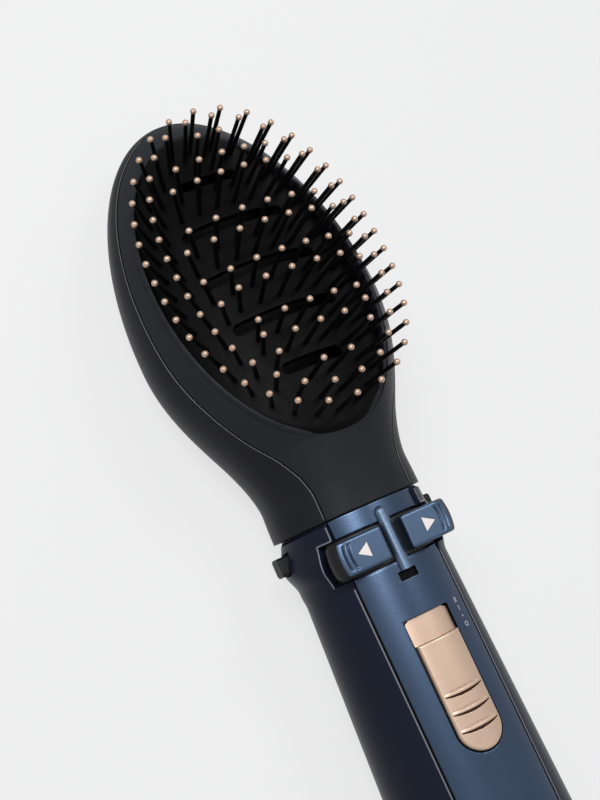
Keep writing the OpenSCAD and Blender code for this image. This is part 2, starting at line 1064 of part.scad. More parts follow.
// Closed loft of the head, shrunk by t, from y0 to the tip
module head_loft(y0, t) {
    last = head_tip - t;
    points = [for (k = [0 : rings]) each head_ring(y0 + (last - y0) * sin(90 * k / rings), t)];
    walls = [for (k = [0 : rings - 1]) for (i = [0 : sides - 1])
        let (a = k * sides + i, b = k * sides + (i + 1) % sides)
            each [[a, b, a + sides], [b, b + sides, a + sides]]];
    front = [for (i = [sides - 1 : -1 : 0]) i];
    tip = [for (i = [0 : sides - 1]) rings * sides + i];
    polyhedron(points, concat(walls, [front, tip]), convexity = 4);
}

// Seam between the head's two shells: place along the head and height, as shares of the tip's
// distance and of the neck's radius
seam_shape = [[-0.04, 0.784], [0.061, 0.784], [0.106, 0.761], [0.152, 0.709], [0.212, 0.61],
    [1.061, -0.338]];
room = 2 * head_half;

// Everything above the seam
module above_seam() {
    yz_prism(concat([for (p = seam_shape) [p[0] * head_tip, p[1] * neck_r]],
        [[1.061 * head_tip, room], [-0.04 * head_tip, room]]), room);
}

// Box round the whole head
module head_box(low) {
    block([-room, room], [-over, head_tip + over], [low, room]);
}

module face_frame() {
    translate([0, recess_y, face_z])
        rotate([-face_deg, 0, 0])
            children();
}

function ellipse(a, b, n = 72) = [for (i = [0 : n - 1]) [a * cos(i * 360 / n), b * sin(i * 360 / n)]];

recess_run = recess_long / cos(face_deg);

// Upright oval prism in the face's frame, inset from the recess
module oval(inset, h0, h1) {
    translate([0, 0, h0])
        linear_extrude(height = h1 - h0)
            polygon(ellipse(recess_half - inset, recess_run - inset));
}

ledge_t = 1.6;
ledge_in = 4;
post_u = 23.5;
post_v = 27;
post_r = 3.2;

module head_front_shell() {
    color(c_head)
        difference() {
            intersection() {
                head_loft(head_gap, 0);
                above_seam();
                face_frame()
                    block([-room, room], [-2 * room, 2 * room], [-room, 0]);
            }
            difference() {
                head_loft(-over, head_wall);
                face_frame()
                    oval(-1.6, -ledge_depth - ledge_t, over);
            }
            face_frame() {
                oval(0, -ledge_depth, over);
                oval(ledge_in, -ledge_depth - 4, 0);
            }
        }
}

module each_post() {
    for (u = [-post_u, post_u])
        for (v = [-post_v, post_v])
            translate([u, v, 0])
                children();
}

post_top = -ledge_depth - ledge_t;
screw_seat = post_top - 7;

module head_back_shell() {
    color(c_head)
        difference() {
            intersection() {
                head_loft(head_gap, 0);
                union() {
                    difference() {
                        head_box(-room);
                        above_seam();
                        head_loft(-over, head_wall);
                    }
                    face_frame()
                        each_post()
                            translate([0, 0, -room])
                                cylinder(h = room + post_top, r = post_r, $fn = 32);
                }
                head_box(-shift_z);
            }
            face_frame()
                each_post() {
                    translate([0, 0, -room])
                        cylinder(h = room + screw_seat, r = 2.2, $fn = 32);
                    translate([0, 0, screw_seat - over])
                        cylinder(h = 20, r = 1.1, $fn = 32);
                }
        }
}

module head_screws() {
    color(c_steel)
        face_frame()
            each_post() {
                translate([0, 0, screw_seat - 1.8])
                    cylinder(h = 1.8, r = 2, $fn = 32);
                translate([0, 0, screw_seat])
                    cylinder(h = 6.6, r = 1.05, $fn = 32);
            }
}

// Barrel-shaped layer of the pad, from depth t0 to depth t1 under its top
bed_t = 0.8;
pad_t = 2;
pad_inset = 0.4;

module barrel(t) {
    translate([0, 0, dome_rise - dome_long_r])
        rotate([0, 90, 0])
            rotate([0, 0, 165])
                rotate_extrude(angle = 30, $fn = 360)
                    translate([dome_long_r - dome_r, 0])
                        intersection() {
                            circle(r = dome_r - t);
                            translate([0, -dome_r])
                                square([dome_r, 2 * dome_r]);
                        }
}

louvre_mid = 0.9;
oval_power = 2.25;
outer_a = recess_half - ring_side;
outer_b = recess_run - ring_end;
second_a = outer_a - ring_gap;
second_b = outer_b - ring_gap;

// Half the length of the air slot that is i slots from the middle one
function louvre_half(i) = (second_a - louvre_clear)
    * sqrt(1 - pow(i * louvre_pitch / (second_b - 2 * louvre_clear), 2));

module louvres() {
    for (i = [-2 : 2]) {
        half = louvre_half(i);
        translate([0, louvre_mid + i * louvre_pitch, 0])
            linear_extrude(height = 2 * dome_r, center = true)
                union() {
                    square([2 * half - louvre_w, louvre_w], center = true);
                    for (s = [-1, 1])
                        translate([s * (half - louvre_w / 2), 0])
                            circle(d = louvre_w, $fn = 32);
                }
    }
}

module vent_pad() {
    color(c_pad)
        face_frame()
            difference() {
                intersection() {
                    oval(pad_inset, -ledge_depth, 10);
                    barrel(bed_t);
                }
                intersection() {
                    oval(pad_inset + pad_t, -ledge_depth - over, 10);
                    barrel(bed_t + pad_t);
                }
                louvres();
            }
}

// Places of the pins on the pad
outer_mid = -1;
trace = 360;

function ring_point(a, b, t) = [
    a * signed_pow(sin(t), 2 / oval_power), -b * signed_pow(cos(t), 2 / oval_power)];

// Length run along the ring, as pairs of length and angle
function ring_run(a, b) = [for (i = 0, s = 0; i <= trace;
    s = s + norm(ring_point(a, b, i + 1) - ring_point(a, b, i)), i = i + 1) [s, i]];

function ring_pins(a, b, mid, count, phase) = let (
        run = ring_run(a, b),
        total = run[trace][0])
    [for (k = [0 : count - 1])
        ring_point(a, b, lookup((k + phase) * total / count, run)) + [0, mid]];

// Rows of pins across the pad: place along it in air slot pitches, pins in the row, and their
// distance in pin pitches
pin_rows = [[2.19, 2, 0.89], [1.72, 5, 0.93], [1.35, 6, 0.95], [0.57, 6, 1.04], [0.23, 7, 1],
    [-0.35, 7, 1], [-0.7, 5, 1.04], [-1.31, 5, 1], [-1.68, 3, 1], [-2.27, 2, 1.11]];
// Single pins beside the rows, on both sides: place across in pin pitches, and along as above
side_pins = [[2.84, -0.82], [2.07, -1.56], [1.86, -1.91]];

row_pins = [for (row = pin_rows) for (k = [0 : row[1] - 1])
    [(k - (row[1] - 1) / 2) * row[2] * pin_pitch, louvre_mid + row[0] * louvre_pitch]];
end_pins = [for (p = side_pins) for (s = [-1, 1])
    [s * p[0] * pin_pitch, louvre_mid + p[1] * louvre_pitch]];
all_pins = concat(ring_pins(outer_a, outer_b, outer_mid, outer_pins, 0),
    ring_pins(second_a, second_b, 0, second_pins, 0.5), row_pins, end_pins);

// Length of a pin, which ends inside its ball tip's outline
pin_top = pin_len - 0.6 * tip_r;

// Frame of one pin: its origin on the pad's surface, its Z square to it
module pin_frame(p) {
    translate([0, 0, dome_rise - dome_long_r])
        rotate([-asin(p[1] / dome_long_r), 0, 0])
            translate([0, 0, dome_long_r - dome_r])
                rotate([0, asin(p[0] / dome_r), 0])
                    translate([0, 0, dome_r])
                        children();
}

module pin_bed() {
    color(c_pad)
        face_frame()
            union() {
                difference() {
                    intersection() {
                        oval(pad_inset, -ledge_depth, 10);
                        barrel(0);
                    }
                    barrel(bed_t);
                    louvres();
                }
                for (p = all_pins)
                    pin_frame(p)
                        translate([0, 0, -bed_t / 2])
                            cylinder(h = pin_top + bed_t / 2, r = pin_r, $fn = 4);
            }
}

module pin_tips() {
    color(c_gold)
        face_frame()
            for (p = all_pins)
                pin_frame(p)
                    translate([0, 0, pin_len])
                        difference() {
                            sphere(r = tip_r, $fn = 24);
                            translate([-2 * tip_r, -2 * tip_r, pin_top - pin_len - 4 * tip_r])
                                cube(4 * tip_r);
                        }
}

// Spigot that plugs into the handle
flange_r = neck_r - head_wall - clear;
flange_t = 3;
spigot_in = 14;
groove_y = -spigot_len + 3;
seal_r = 0.5;
seal_mid = spigot_r - seal_r + run_fit / 2;

module head_spigot() {
    color(c_dark)
        difference() {
            union() {
                tube_y(-spigot_len, spigot_in, spigot_r, spigot_r - spigot_wall);
                tube_y(head_gap, flange_t, flange_r, spigot_r - spigot_wall);
            }
            along_y(groove_y)
                rotate_extrude()
                    translate([seal_mid - seal_r, -seal_r])
                        square([3, 2 * seal_r]);
        }
}

module seal_ring() {
    color(c_pad)
        along_y(groove_y)
            rotate_extrude()
                translate([seal_mid, 0])
                    circle(r = seal_r, $fn = 24);
}

// Plate that steers the air up to the slots
guide_h = -17;
guide_t = 1.2;

module air_guide() {
    color(c_dark)
        difference() {
            intersection() {
                face_frame()
                    oval(4.5, guide_h - guide_t, guide_h);
                head_loft(-over, head_wall + clear);
            }
            face_frame()
                each_post()
                    translate([0, 0, -room])
                        cylinder(h = room, r = post_r + clear, $fn = 32);
        }
}

placed() side_shell();
placed() front_panel();
placed() front_collar();
placed() centre_bar();
placed() notch_window();
placed() slot_plate();
placed() dial_marks();
placed() attach_socket();
placed() centring_spring();
placed() switch_board();
placed() selector_switch();
placed() reversing_switch();
placed() air_duct();
placed() spindle_bearing();
placed() gearbox();
placed() turning_motor();
placed() heater_frame();
placed() heater_winding();
placed() thermal_cutout();
placed() fan_shroud();
placed() motor_mount();
placed() fan_motor();
placed() power_board();
placed() rear_cap();
placed() inlet_grille();
placed() dust_filter();
placed() gland_seat();
placed() case_screws();
placed() switch_carrier();
placed() left_pad();
placed() right_pad();
placed() left_arrow();
placed() right_arrow();
placed() left_knob();
placed() left_knob_spring();
placed() right_knob();
placed() right_knob_spring();
placed() power_slider();
placed() slide_carriage();
placed() drive_spindle();
placed() motor_shaft();
placed() fan_impeller();
placed() cord_gland();
placed() head_front_shell();
placed() head_back_shell();
placed() vent_pad();
placed() pin_bed();
placed() pin_tips();
placed() head_spigot();
placed() seal_ring();
placed() air_guide();
placed() head_screws();
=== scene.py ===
"""Looks of a rotating hot air brush with a plug-in paddle head, dressed over its solid model."""

import json
import math

import bmesh
import bpy
import numpy as np
from mathutils import Matrix, Vector


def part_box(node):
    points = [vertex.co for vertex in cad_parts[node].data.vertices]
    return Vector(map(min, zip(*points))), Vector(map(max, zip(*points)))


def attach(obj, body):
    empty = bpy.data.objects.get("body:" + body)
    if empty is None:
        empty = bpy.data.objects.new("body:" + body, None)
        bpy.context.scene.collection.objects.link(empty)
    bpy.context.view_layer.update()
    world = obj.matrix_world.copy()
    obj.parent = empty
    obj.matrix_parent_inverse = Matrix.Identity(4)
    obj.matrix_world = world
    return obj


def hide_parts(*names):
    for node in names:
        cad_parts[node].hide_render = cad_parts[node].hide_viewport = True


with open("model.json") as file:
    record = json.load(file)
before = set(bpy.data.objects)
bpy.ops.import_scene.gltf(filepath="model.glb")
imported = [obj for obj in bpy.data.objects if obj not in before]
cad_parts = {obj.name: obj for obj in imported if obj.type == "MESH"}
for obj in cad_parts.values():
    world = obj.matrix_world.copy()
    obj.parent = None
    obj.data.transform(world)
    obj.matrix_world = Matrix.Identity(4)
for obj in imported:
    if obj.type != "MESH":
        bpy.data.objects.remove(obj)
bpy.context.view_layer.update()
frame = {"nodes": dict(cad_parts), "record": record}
nodes = frame["nodes"]
scene = bpy.context.scene

# Shapes are worked out in millimetres from the middle of the collar's front edge: x to the
# right, y towards the head, z up from the handle's axis. The solids give that point's place.
cap_low, cap_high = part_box("rear_cap")
ORIGIN = np.array([0.0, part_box("side_shell")[1][1], (cap_low[2] + cap_high[2]) / 2])
MM = 0.001


def place(points):
    """Points in millimetres from the collar, as points of the shared frame in metres."""
    return np.asarray(points, float) * MM + ORIGIN


# ---------------------------------------------------------------- mesh helpers


def mesh_piece(name, verts, faces, material, body, stands_for=(), merge=0.0):
    """New piece from points in millimetres; merge is the distance within which points join."""
    mesh = bpy.data.meshes.new(name)
    mesh.from_pydata(place(verts).tolist(), [], faces)
    mesh.validate()
    obj = bpy.data.objects.new(name, mesh)
    scene.collection.objects.link(obj)
    mesh.materials.append(material)
    for poly in mesh.polygons:
        poly.use_smooth = True
    if merge:
        weld = obj.modifiers.new("weld", "WELD")
        weld.merge_threshold = merge * MM
    if stands_for:
        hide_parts(*stands_for)
    obj["body"] = body
    return obj


def grid(rows, cols, wrap=False, skip=None):
    """Quads of a grid of rows x cols points, wrapped round the columns if asked."""
    faces = []
    for i in range(rows - 1):
        for j in range(cols if wrap else cols - 1):
            if skip is not None and skip(i, j):
                continue
            a, b = i * cols + j, i * cols + (j + 1) % cols
            faces.append((a, b, b + cols, a + cols))
    return faces


def add(obj, kind, name, **settings):
    """Puts a modifier on obj."""
    modifier = obj.modifiers.new(name, kind)
    for key, value in settings.items():
        setattr(modifier, key, value)
    return modifier


def shell(obj, thickness, bevel, segments=3, angle=38):
    """Gives obj a wall inwards from its surface, and rounds its edges sharper than the angle."""
    if thickness:
        add(obj, "SOLIDIFY", "wall", thickness=thickness * MM, offset=-1)
    if bevel:
        add(obj, "BEVEL", "edges", width=bevel * MM, segments=segments, limit_method="ANGLE",
            angle_limit=math.radians(angle), harden_normals=False)
    return obj


def cut(obj, verts, faces):
    """Takes a closed shape out of obj."""
    mesh = bpy.data.meshes.new("cutter")
    mesh.from_pydata(place(verts).tolist(), [], faces)
    solid = bmesh.new()
    solid.from_mesh(mesh)
    bmesh.ops.recalc_face_normals(solid, faces=solid.faces)
    solid.to_mesh(mesh)
    solid.free()
    cutter = bpy.data.objects.new("cutter", mesh)
    scene.collection.objects.link(cutter)
    add(obj, "BOOLEAN", "cut", object=cutter, operation="DIFFERENCE", solver="EXACT")
    return cutter


def settle(obj, *cutters):
    """Applies obj's modifiers, drops its cutters and lets it ride on its body."""
    bpy.context.view_layer.update()
    evaluated = obj.evaluated_get(bpy.context.evaluated_depsgraph_get())
    mesh = bpy.data.meshes.new_from_object(evaluated)
    mesh.name = obj.name
    obj.modifiers.clear()
    obj.data = mesh
    for cutter in cutters:
        bpy.data.objects.remove(cutter)
    for poly in mesh.polygons:
        poly.use_smooth = True
    body = obj["body"]
    del obj["body"]
    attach(obj, body)
    return obj


def prism(outline, low, high, frame_of=lambda p: p):
    """Closed prism over an outline in x and y, from height low to high."""
    n = len(outline)
    verts = [frame_of((x, y, z)) for z in (low, high) for x, y in outline]
    faces = [tuple(range(n))[::-1], tuple(range(n, 2 * n))]
    faces += [(i, (i + 1) % n, n + (i + 1) % n, n + i) for i in range(n)]
    return verts, faces


def rectangle(xs, ys):
    """Outline of a rectangle from its range in x and its range in y."""
    return [(xs[0], ys[0]), (xs[1], ys[0]), (xs[1], ys[1]), (xs[0], ys[1])]


def strip(half, top, foot):
    """Corners of a thin strip's section: across and up, from top down to foot."""
    return (-half, top), (half, top), (half, foot), (-half, foot)


def tube(rows, closed=False):
    """Closed skin through rows of points, capped at both ends unless it joins up."""
    n = len(rows[0])
    verts = [p for row in rows for p in row]
    faces = grid(len(rows), n, wrap=True)
    last = (len(rows) - 1) * n
    if closed:
        faces += [(last + j, last + (j + 1) % n, (j + 1) % n, j) for j in range(n)]
    else:
        faces += [tuple(range(n))[::-1], tuple(last + k for k in range(n))]
    return verts, faces


def smooth(t):
    """Soft step from 0 to 1."""
    t = np.clip(t, 0, 1)
    return t * t * (3 - 2 * t)


def rounded(distance, radius):
    """Drop of an edge of that radius, at a distance in from the edge."""
    d = np.clip(radius - distance, 0, radius)
    return radius - np.sqrt(np.maximum(radius * radius - d * d, 0))


SIDES = ((-1, "left"), (1, "right"))

# ---------------------------------------------------------------- materials


GRAIN_DEPTH = 0.0004


class Finish:
    """A procedural material: a base colour with slow and fine variation, and a fine grain."""

    def __init__(self, name, colour, roughness, metallic=0.0, coat=0.0, coat_roughness=0.1,
                 specular=0.5, tint=0.12, tint_scale=60.0, grain=0.02, grain_scale=2200.0,
                 rough_spread=0.08, stretch=(1, 1, 1)):
        self.material = bpy.data.materials.new(name)
        self.material.use_nodes = True
        self.tree = self.material.node_tree
        self.bsdf = self.tree.nodes["Principled BSDF"]
        self.set("Base Color", (*colour, 1))
        self.set("Roughness", roughness)
        self.set("Metallic", metallic)
        self.set("Coat Weight", coat)
        self.set("Coat Roughness", coat_roughness)
        self.set("Specular IOR Level", specular)
        coords = self.tree.nodes.new("ShaderNodeTexCoord")
        mapping = self.tree.nodes.new("ShaderNodeMapping")
        mapping.inputs["Scale"].default_value = stretch
        self.link(coords.outputs["Object"], mapping.inputs["Vector"])
        self.vector = mapping.outputs["Vector"]
        slow = self.noise(tint_scale, 3)
        fine = self.noise(grain_scale, 4)
        if tint:
            mix = self.tree.nodes.new("ShaderNodeMix")
            mix.data_type = "RGBA"
            # Sockets 6 and 7 are the two colours, and output 2 is their blend.
            mix.inputs[6].default_value = (*[c * (1 - tint) for c in colour], 1)
            mix.inputs[7].default_value = (*[min(1, c * (1 + tint)) for c in colour], 1)
            self.link(slow, mix.inputs[0])
            self.link(mix.outputs[2], self.bsdf.inputs["Base Color"])
        if rough_spread:
            span = self.tree.nodes.new("ShaderNodeMapRange")
            span.inputs["To Min"].default_value = max(0.02, roughness - rough_spread)
            span.inputs["To Max"].default_value = min(1, roughness + rough_spread)
            self.link(fine, span.inputs["Value"])
            self.link(span.outputs["Result"], self.bsdf.inputs["Roughness"])
        if grain:
            bump = self.tree.nodes.new("ShaderNodeBump")
            bump.inputs["Strength"].default_value = grain
            bump.inputs["Distance"].default_value = GRAIN_DEPTH
            self.link(fine, bump.inputs["Height"])
            self.link(bump.outputs["Normal"], self.bsdf.inputs["Normal"])

    def set(self, socket, value):
        if socket in self.bsdf.inputs:
            self.bsdf.inputs[socket].default_value = value

    def link(self, a, b):
        self.tree.links.new(a, b)

    def noise(self, scale, detail):
        node = self.tree.nodes.new("ShaderNodeTexNoise")
        node.inputs["Scale"].default_value = scale
        node.inputs["Detail"].default_value = detail
        self.link(self.vector, node.inputs["Vector"])
        return node.outputs["Fac"]


def finish(*args, **kwargs):
    """The material of a new Finish."""
    return Finish(*args, **kwargs).material


m_navy = finish("navy_shell", (0.0070, 0.0098, 0.0205), 0.34, specular=0.09, grain=0.10,
                grain_scale=1500, tint=0.15)
m_blue = finish("blue_metallic", (0.036, 0.058, 0.100), 0.32, metallic=0.92, coat=0.1,
                coat_roughness=0.25, grain=0.05, grain_scale=1700, tint=0.10, rough_spread=0.06)
# A lighter copy of the head's plastic for the front shell, which faces the light: painted light.
m_head_lit = finish("front_plastic", (0.0165, 0.0170, 0.0210), 0.36, specular=0.075, grain=0.10,
                 grain_scale=1600, tint=0.10, rough_spread=0.05)
# A lighter copy of the blue metallic for the switch's pads: painted light on their tops.
m_button_lit = finish("blue_button", (0.054, 0.086, 0.142), 0.33, metallic=0.9, coat=0.1,
                  coat_roughness=0.25, grain=0.05, grain_scale=1700, tint=0.08)
m_head = finish("head_plastic", (0.0125, 0.0128, 0.0158), 0.38, specular=0.065, grain=0.12,
                grain_scale=1600, tint=0.10, rough_spread=0.05)
m_pad = finish("pad_black", (0.0011, 0.0011, 0.0013), 0.48, specular=0.05, grain=0.10,
               grain_scale=1300, tint=0.15)
m_pin = finish("pin_black", (0.002, 0.002, 0.0024), 0.40, specular=0.12, grain=0.05, tint=0.15)
m_tip = finish("tip_nude", (0.44, 0.30, 0.22), 0.24, metallic=0.45, specular=0.7, grain=0.03,
               tint=0.06, tint_scale=300)
m_gold = finish("rose_gold", (0.475, 0.345, 0.262), 0.38, metallic=0.76, coat=0.05,
                coat_roughness=0.3, grain=0.04, grain_scale=1800, tint=0.05)
m_print = finish("pale_print", (0.74, 0.68, 0.65), 0.6, grain=0.02, tint=0.04)
m_mark = finish("mark_print", (0.33, 0.34, 0.36), 0.6, grain=0.02, tint=0.04)
m_knob = finish("knob_grey", (0.010, 0.0103, 0.0115), 0.42, specular=0.14, grain=0.12, tint=0.1)
# A lighter copy of the blue metallic for the centre bar: a painted highlight.
m_bar_lit = finish("blue_bar", (0.090, 0.132, 0.195), 0.38, metallic=0.85, grain=0.05,
               grain_scale=1700, tint=0.08)
# Pale strip colour for the shell's edges: a painted highlight where the edges catch the light.
m_edge_highlight = finish("edge_line", (0.13, 0.14, 0.17), 0.35, grain=0.03, tint=0.08)
# Light strip on the back shell's rim by the joint: a painted highlight.
m_rim_highlight = finish("seam_rim", (0.085, 0.085, 0.092), 0.4, grain=0.03, tint=0.08)
# Near-black for narrow gaps, round the slider, along the panel and in the head's joint: painted
# shade.
m_gap_shade = finish("gap_black", (0.0012, 0.0012, 0.0015), 0.6, specular=0.05, grain=0.03, tint=0.1)
# Dark brown for the slider's grooves: painted shade under the ridges.
m_groove_shade = finish("groove_brown", (0.034, 0.015, 0.008), 0.5, specular=0.1, grain=0.03, tint=0.1)
m_dark = finish("dark_nylon", (0.006, 0.006, 0.007), 0.5, grain=0.08, tint=0.12)
m_rubber = finish("black_rubber", (0.008, 0.008, 0.008), 0.65, grain=0.15, tint=0.12)
m_steel = finish("steel", (0.50, 0.51, 0.53), 0.32, metallic=1.0, grain=0.05, tint=0.06,
                 stretch=(1, 12, 1))
m_board = finish("board_green", (0.02, 0.11, 0.05), 0.5, grain=0.05)
m_mica = finish("mica", (0.42, 0.33, 0.20), 0.45, grain=0.10, tint=0.15)
m_wire = finish("heater_wire", (0.30, 0.27, 0.25), 0.4, metallic=1.0, grain=0.3, stretch=(1, 9, 1))
m_mesh = finish("filter_mesh", (0.22, 0.22, 0.23), 0.45, metallic=0.9, grain=0.5, grain_scale=2600)

# Every solid gets its slot's material, also those that a finer piece takes the place of.
BY_SLOT = {
    "navy": m_navy, "blue": m_blue, "black": m_pad, "gold": m_gold, "print": m_print,
    "nylon": m_dark, "spring_steel": m_steel, "board": m_board, "mica": m_mica, "wire": m_wire,
    "mesh": m_mesh, "head_plastic": m_head, "tips": m_tip, "seal": m_rubber, "knob_grey": m_knob,
}
for part in frame["record"]["subparts"]:
    obj = nodes[part["node"]]
    material = BY_SLOT[part["material_slot"]]
    if part["node"] == "dial_marks":
        material = m_mark
    # The centre bar takes the lighter blue, a painted highlight.
    elif part["node"] == "centre_bar":
        material = m_bar_lit
    for index in range(max(1, len(obj.material_slots))):
        if not obj.material_slots:
            obj.data.materials.append(material)
        obj.material_slots[index].link = "OBJECT"
        obj.material_slots[index].material = material

# ---------------------------------------------------------------- handle shells

GRIP, COLLAR, TAPER_LEN = 25.2, 21.0, 105.0     # widest radius, front radius, length between
SHELL_BACK, PANEL_BACK = -172.0, -160.0
WALL, EDGE = 2.0, 0.32                          # thickness, and rounding of the edges
PANEL, PANEL_GAP = 13.9, 0.15                   # half width of the front panel, gap beside it
CHANNEL, CHANNEL_DEG = (-17.6, -5.6), 54.0      # the switch's channel: y, and degrees from the top
EAR_DEG = 112                                   # where the side ears start to fade
KNOB_Y, KNOB_Z = (-9.55, -3.25), (-4.75, 1.55)  # the knobs' holes
PROFILE = np.array([[-186, 16.0], [-184, 19.6], [-179, 22.3], [SHELL_BACK, 23.0], [-135, GRIP],
                    [-TAPER_LEN, GRIP], [0, COLLAR]])
TAPER = math.atan((GRIP - COLLAR) / TAPER_LEN)


def handle_r(y):
    """Radius of the handle."""
    return np.interp(y, PROFILE[:, 0], PROFILE[:, 1])


def ear(deg, y):
    """Height of the side ears above the shell, at an angle from the top: highest by the knobs."""
    low = smooth((deg - CHANNEL_DEG) / 50)
    middle = -12 + 4 * low
    reach = np.where(y > middle, 7.5 + 1.5 * low, 5.4 + 2.6 * low)
    crown = np.cos(math.pi / 2 * np.clip(abs(y - middle) / reach, 0, 1)) ** 2
    ends = smooth((-0.2 - y) / 0.9) * smooth((y + 20.5) / 4.5)
    around = 1 - smooth((deg - EAR_DEG) / 35)
    return ((1.0 - 0.5 * low) * ends + (1.6 + 0.7 * low) * crown) * around


def spread(*stops):
    """Joined runs of evenly spaced numbers: (from, to, count), ..."""
    runs = [np.linspace(a, b, n, endpoint=False) for a, b, n in stops]
    return np.concatenate(runs + [[stops[-1][1]]])


def build_side_shell():
    """Dark shell of the handle, open at the front panel and at the switch's channel."""
    ys = spread((SHELL_BACK, PANEL_BACK, 6), (PANEL_BACK, -21, 60), (-21, CHANNEL[0], 14),
                (CHANNEL[0], CHANNEL[1], 26), (CHANNEL[1], -1.2, 8), (-1.2, 0, 8))
    inner = spread((0, 1, 10))
    outer = spread((CHANNEL_DEG, EAR_DEG, 44), (EAR_DEG, 360 - EAR_DEG, 44),
                   (360 - EAR_DEG, 360 - CHANNEL_DEG, 44))
    verts = []
    for y in ys:
        r = float(handle_r(y))
        half = PANEL if y >= PANEL_BACK - 0.01 else 0.0
        edge = math.degrees(math.asin(min(1, half / r)))
        degs = np.concatenate([edge + (CHANNEL_DEG - edge) * inner[:-1], outer,
                               (360 - CHANNEL_DEG) + (CHANNEL_DEG - edge) * inner[1:]])
        for d in degs:
            away = d if d <= 180 else 360 - d
            rr = r + float(ear(away, y))
            verts.append((rr * math.sin(math.radians(d)), y, rr * math.cos(math.radians(d))))
    cols = len(verts) // len(ys)
    n = len(inner) - 1

    def skip(i, j):
        mid = (ys[i] + ys[i + 1]) / 2
        return CHANNEL[0] < mid < CHANNEL[1] and (j < n or j >= cols - 1 - n)

    faces = grid(len(ys), cols, skip=skip)
    rows_back = int(np.argmin(abs(ys - PANEL_BACK)))
    for i in range(rows_back):
        faces.append((i * cols + cols - 1, i * cols, (i + 1) * cols, (i + 1) * cols + cols - 1))
    obj = mesh_piece("side_housing", verts, faces, m_navy, "handle", ["side_shell"],
                     merge=0.02)
    shell(obj, WALL, EDGE)
    holes = []
    for side, _ in SIDES:
        hole = rectangle(KNOB_Y, KNOB_Z)
        verts, faces = prism(hole, 15, 30, lambda p: (side * p[2], p[0], p[1]))
        holes.append(cut(obj, verts, faces))
    return settle(obj, *holes)


def taper_frame(p):
    """From the frame of the handle's top edge, y along it and z out of it."""
    c, s = math.cos(TAPER), math.sin(TAPER)
    x, y, z = p
    return x, y * c + z * s, COLLAR - y * s + z * c


# The slot in the panel and the slider in it, in the frame of the handle's top edge.
SLOT_START, SLOT_LEN, SLOT_HALF, SLOT_BEND = 33.2, 40.4, 7.3, 0.9
SLIDE_BACK = -SLOT_START - SLOT_LEN
SLIDE_FRONT = -SLOT_START - 7.45
CYL_R = float(handle_r(-SLOT_START - SLOT_LEN / 2))
NOTCH_HALF, NOTCH_Y = 2.9, (-23.2, -20.5)       # the window in front of the slot


def slot_outline(inset=0.0):
    """The slot's outline in x and y: round at the bottom, with small corners at the top."""
    w = SLOT_HALF - inset
    tail = -SLOT_START - SLOT_LEN + SLOT_HALF
    top = -SLOT_START - inset
    arc = [(w * math.cos(a), tail - w * math.sin(a)) for a in np.linspace(0, math.pi, 40)]
    left = [(-w + SLOT_BEND * (1 + math.cos(a)), top - SLOT_BEND * (1 - math.sin(a)))
            for a in np.linspace(math.pi, math.pi / 2, 7)]
    return arc + left + [(-x, y) for x, y in left[::-1]]


def slot_point(x, y, lift):
    """Point over the slot, at a height above the handle's round surface."""
    return taper_frame((x, y, lift + math.sqrt(CYL_R ** 2 - x * x) - CYL_R))


def panel_grid(y0, y1, rows):
    """The panel's round surface between two places along the handle."""
    half, cols = PANEL - PANEL_GAP, 64
    verts = []
    for y in np.linspace(y0, y1, rows):
        r = float(handle_r(y))
        for x in np.linspace(-half, half, cols):
            verts.append((x, y, math.sqrt(r * r - x * x)))
    return verts, grid(rows, cols)


def build_slot_shade():
    """Painted shade: a dark strip in the gap round the slider; it lies low at the slot's top, where
    the slider runs over it.
    """
    rows = []
    for (x0, y0), (x1, y1) in zip(slot_outline(-0.05), slot_outline(0.5)):
        sunk = float(smooth(y0 + SLOT_START + 2.6))
        top, foot = -0.12 - 0.93 * sunk, -0.8 - 0.29 * sunk
        rows.append([slot_point(x0, y0, top), slot_point(x1, y1, top), slot_point(x1, y1, foot),
                     slot_point(x0, y0, foot)])
    verts, faces = tube(rows, closed=True)
    settle(mesh_piece("slot_shade", verts, faces, m_gap_shade, "handle"))


def build_panel_lines():
    """Painted shade in the gap along the front panel, and a painted highlight on the shell's edge
    beside it.
    """
    # The dark strip is painted shade in the gap; the light strip is a painted highlight on the
    # shell's edge.
    lines = (("panel_gap", PANEL, 0.26, m_gap_shade, "black"),
             ("shell_edge", PANEL + 0.5, 0.17, m_edge_highlight, "navy"))
    for name, middle, half, material, slot in lines:
        for side, tag in SIDES:
            rows = []
            for y in np.linspace(PANEL_BACK + 0.5, CHANNEL[0] - 0.4, 60):
                r = float(handle_r(y))
                row = []
                for x, lift in strip(half, 0.05, -0.6):
                    q = math.asin((middle + x) / r)
                    row.append((side * (r + lift) * math.sin(q), y, (r + lift) * math.cos(q)))
                rows.append(row)
            verts, faces = tube(rows)
            settle(mesh_piece(tag + "_" + name, verts, faces, material, "handle"))


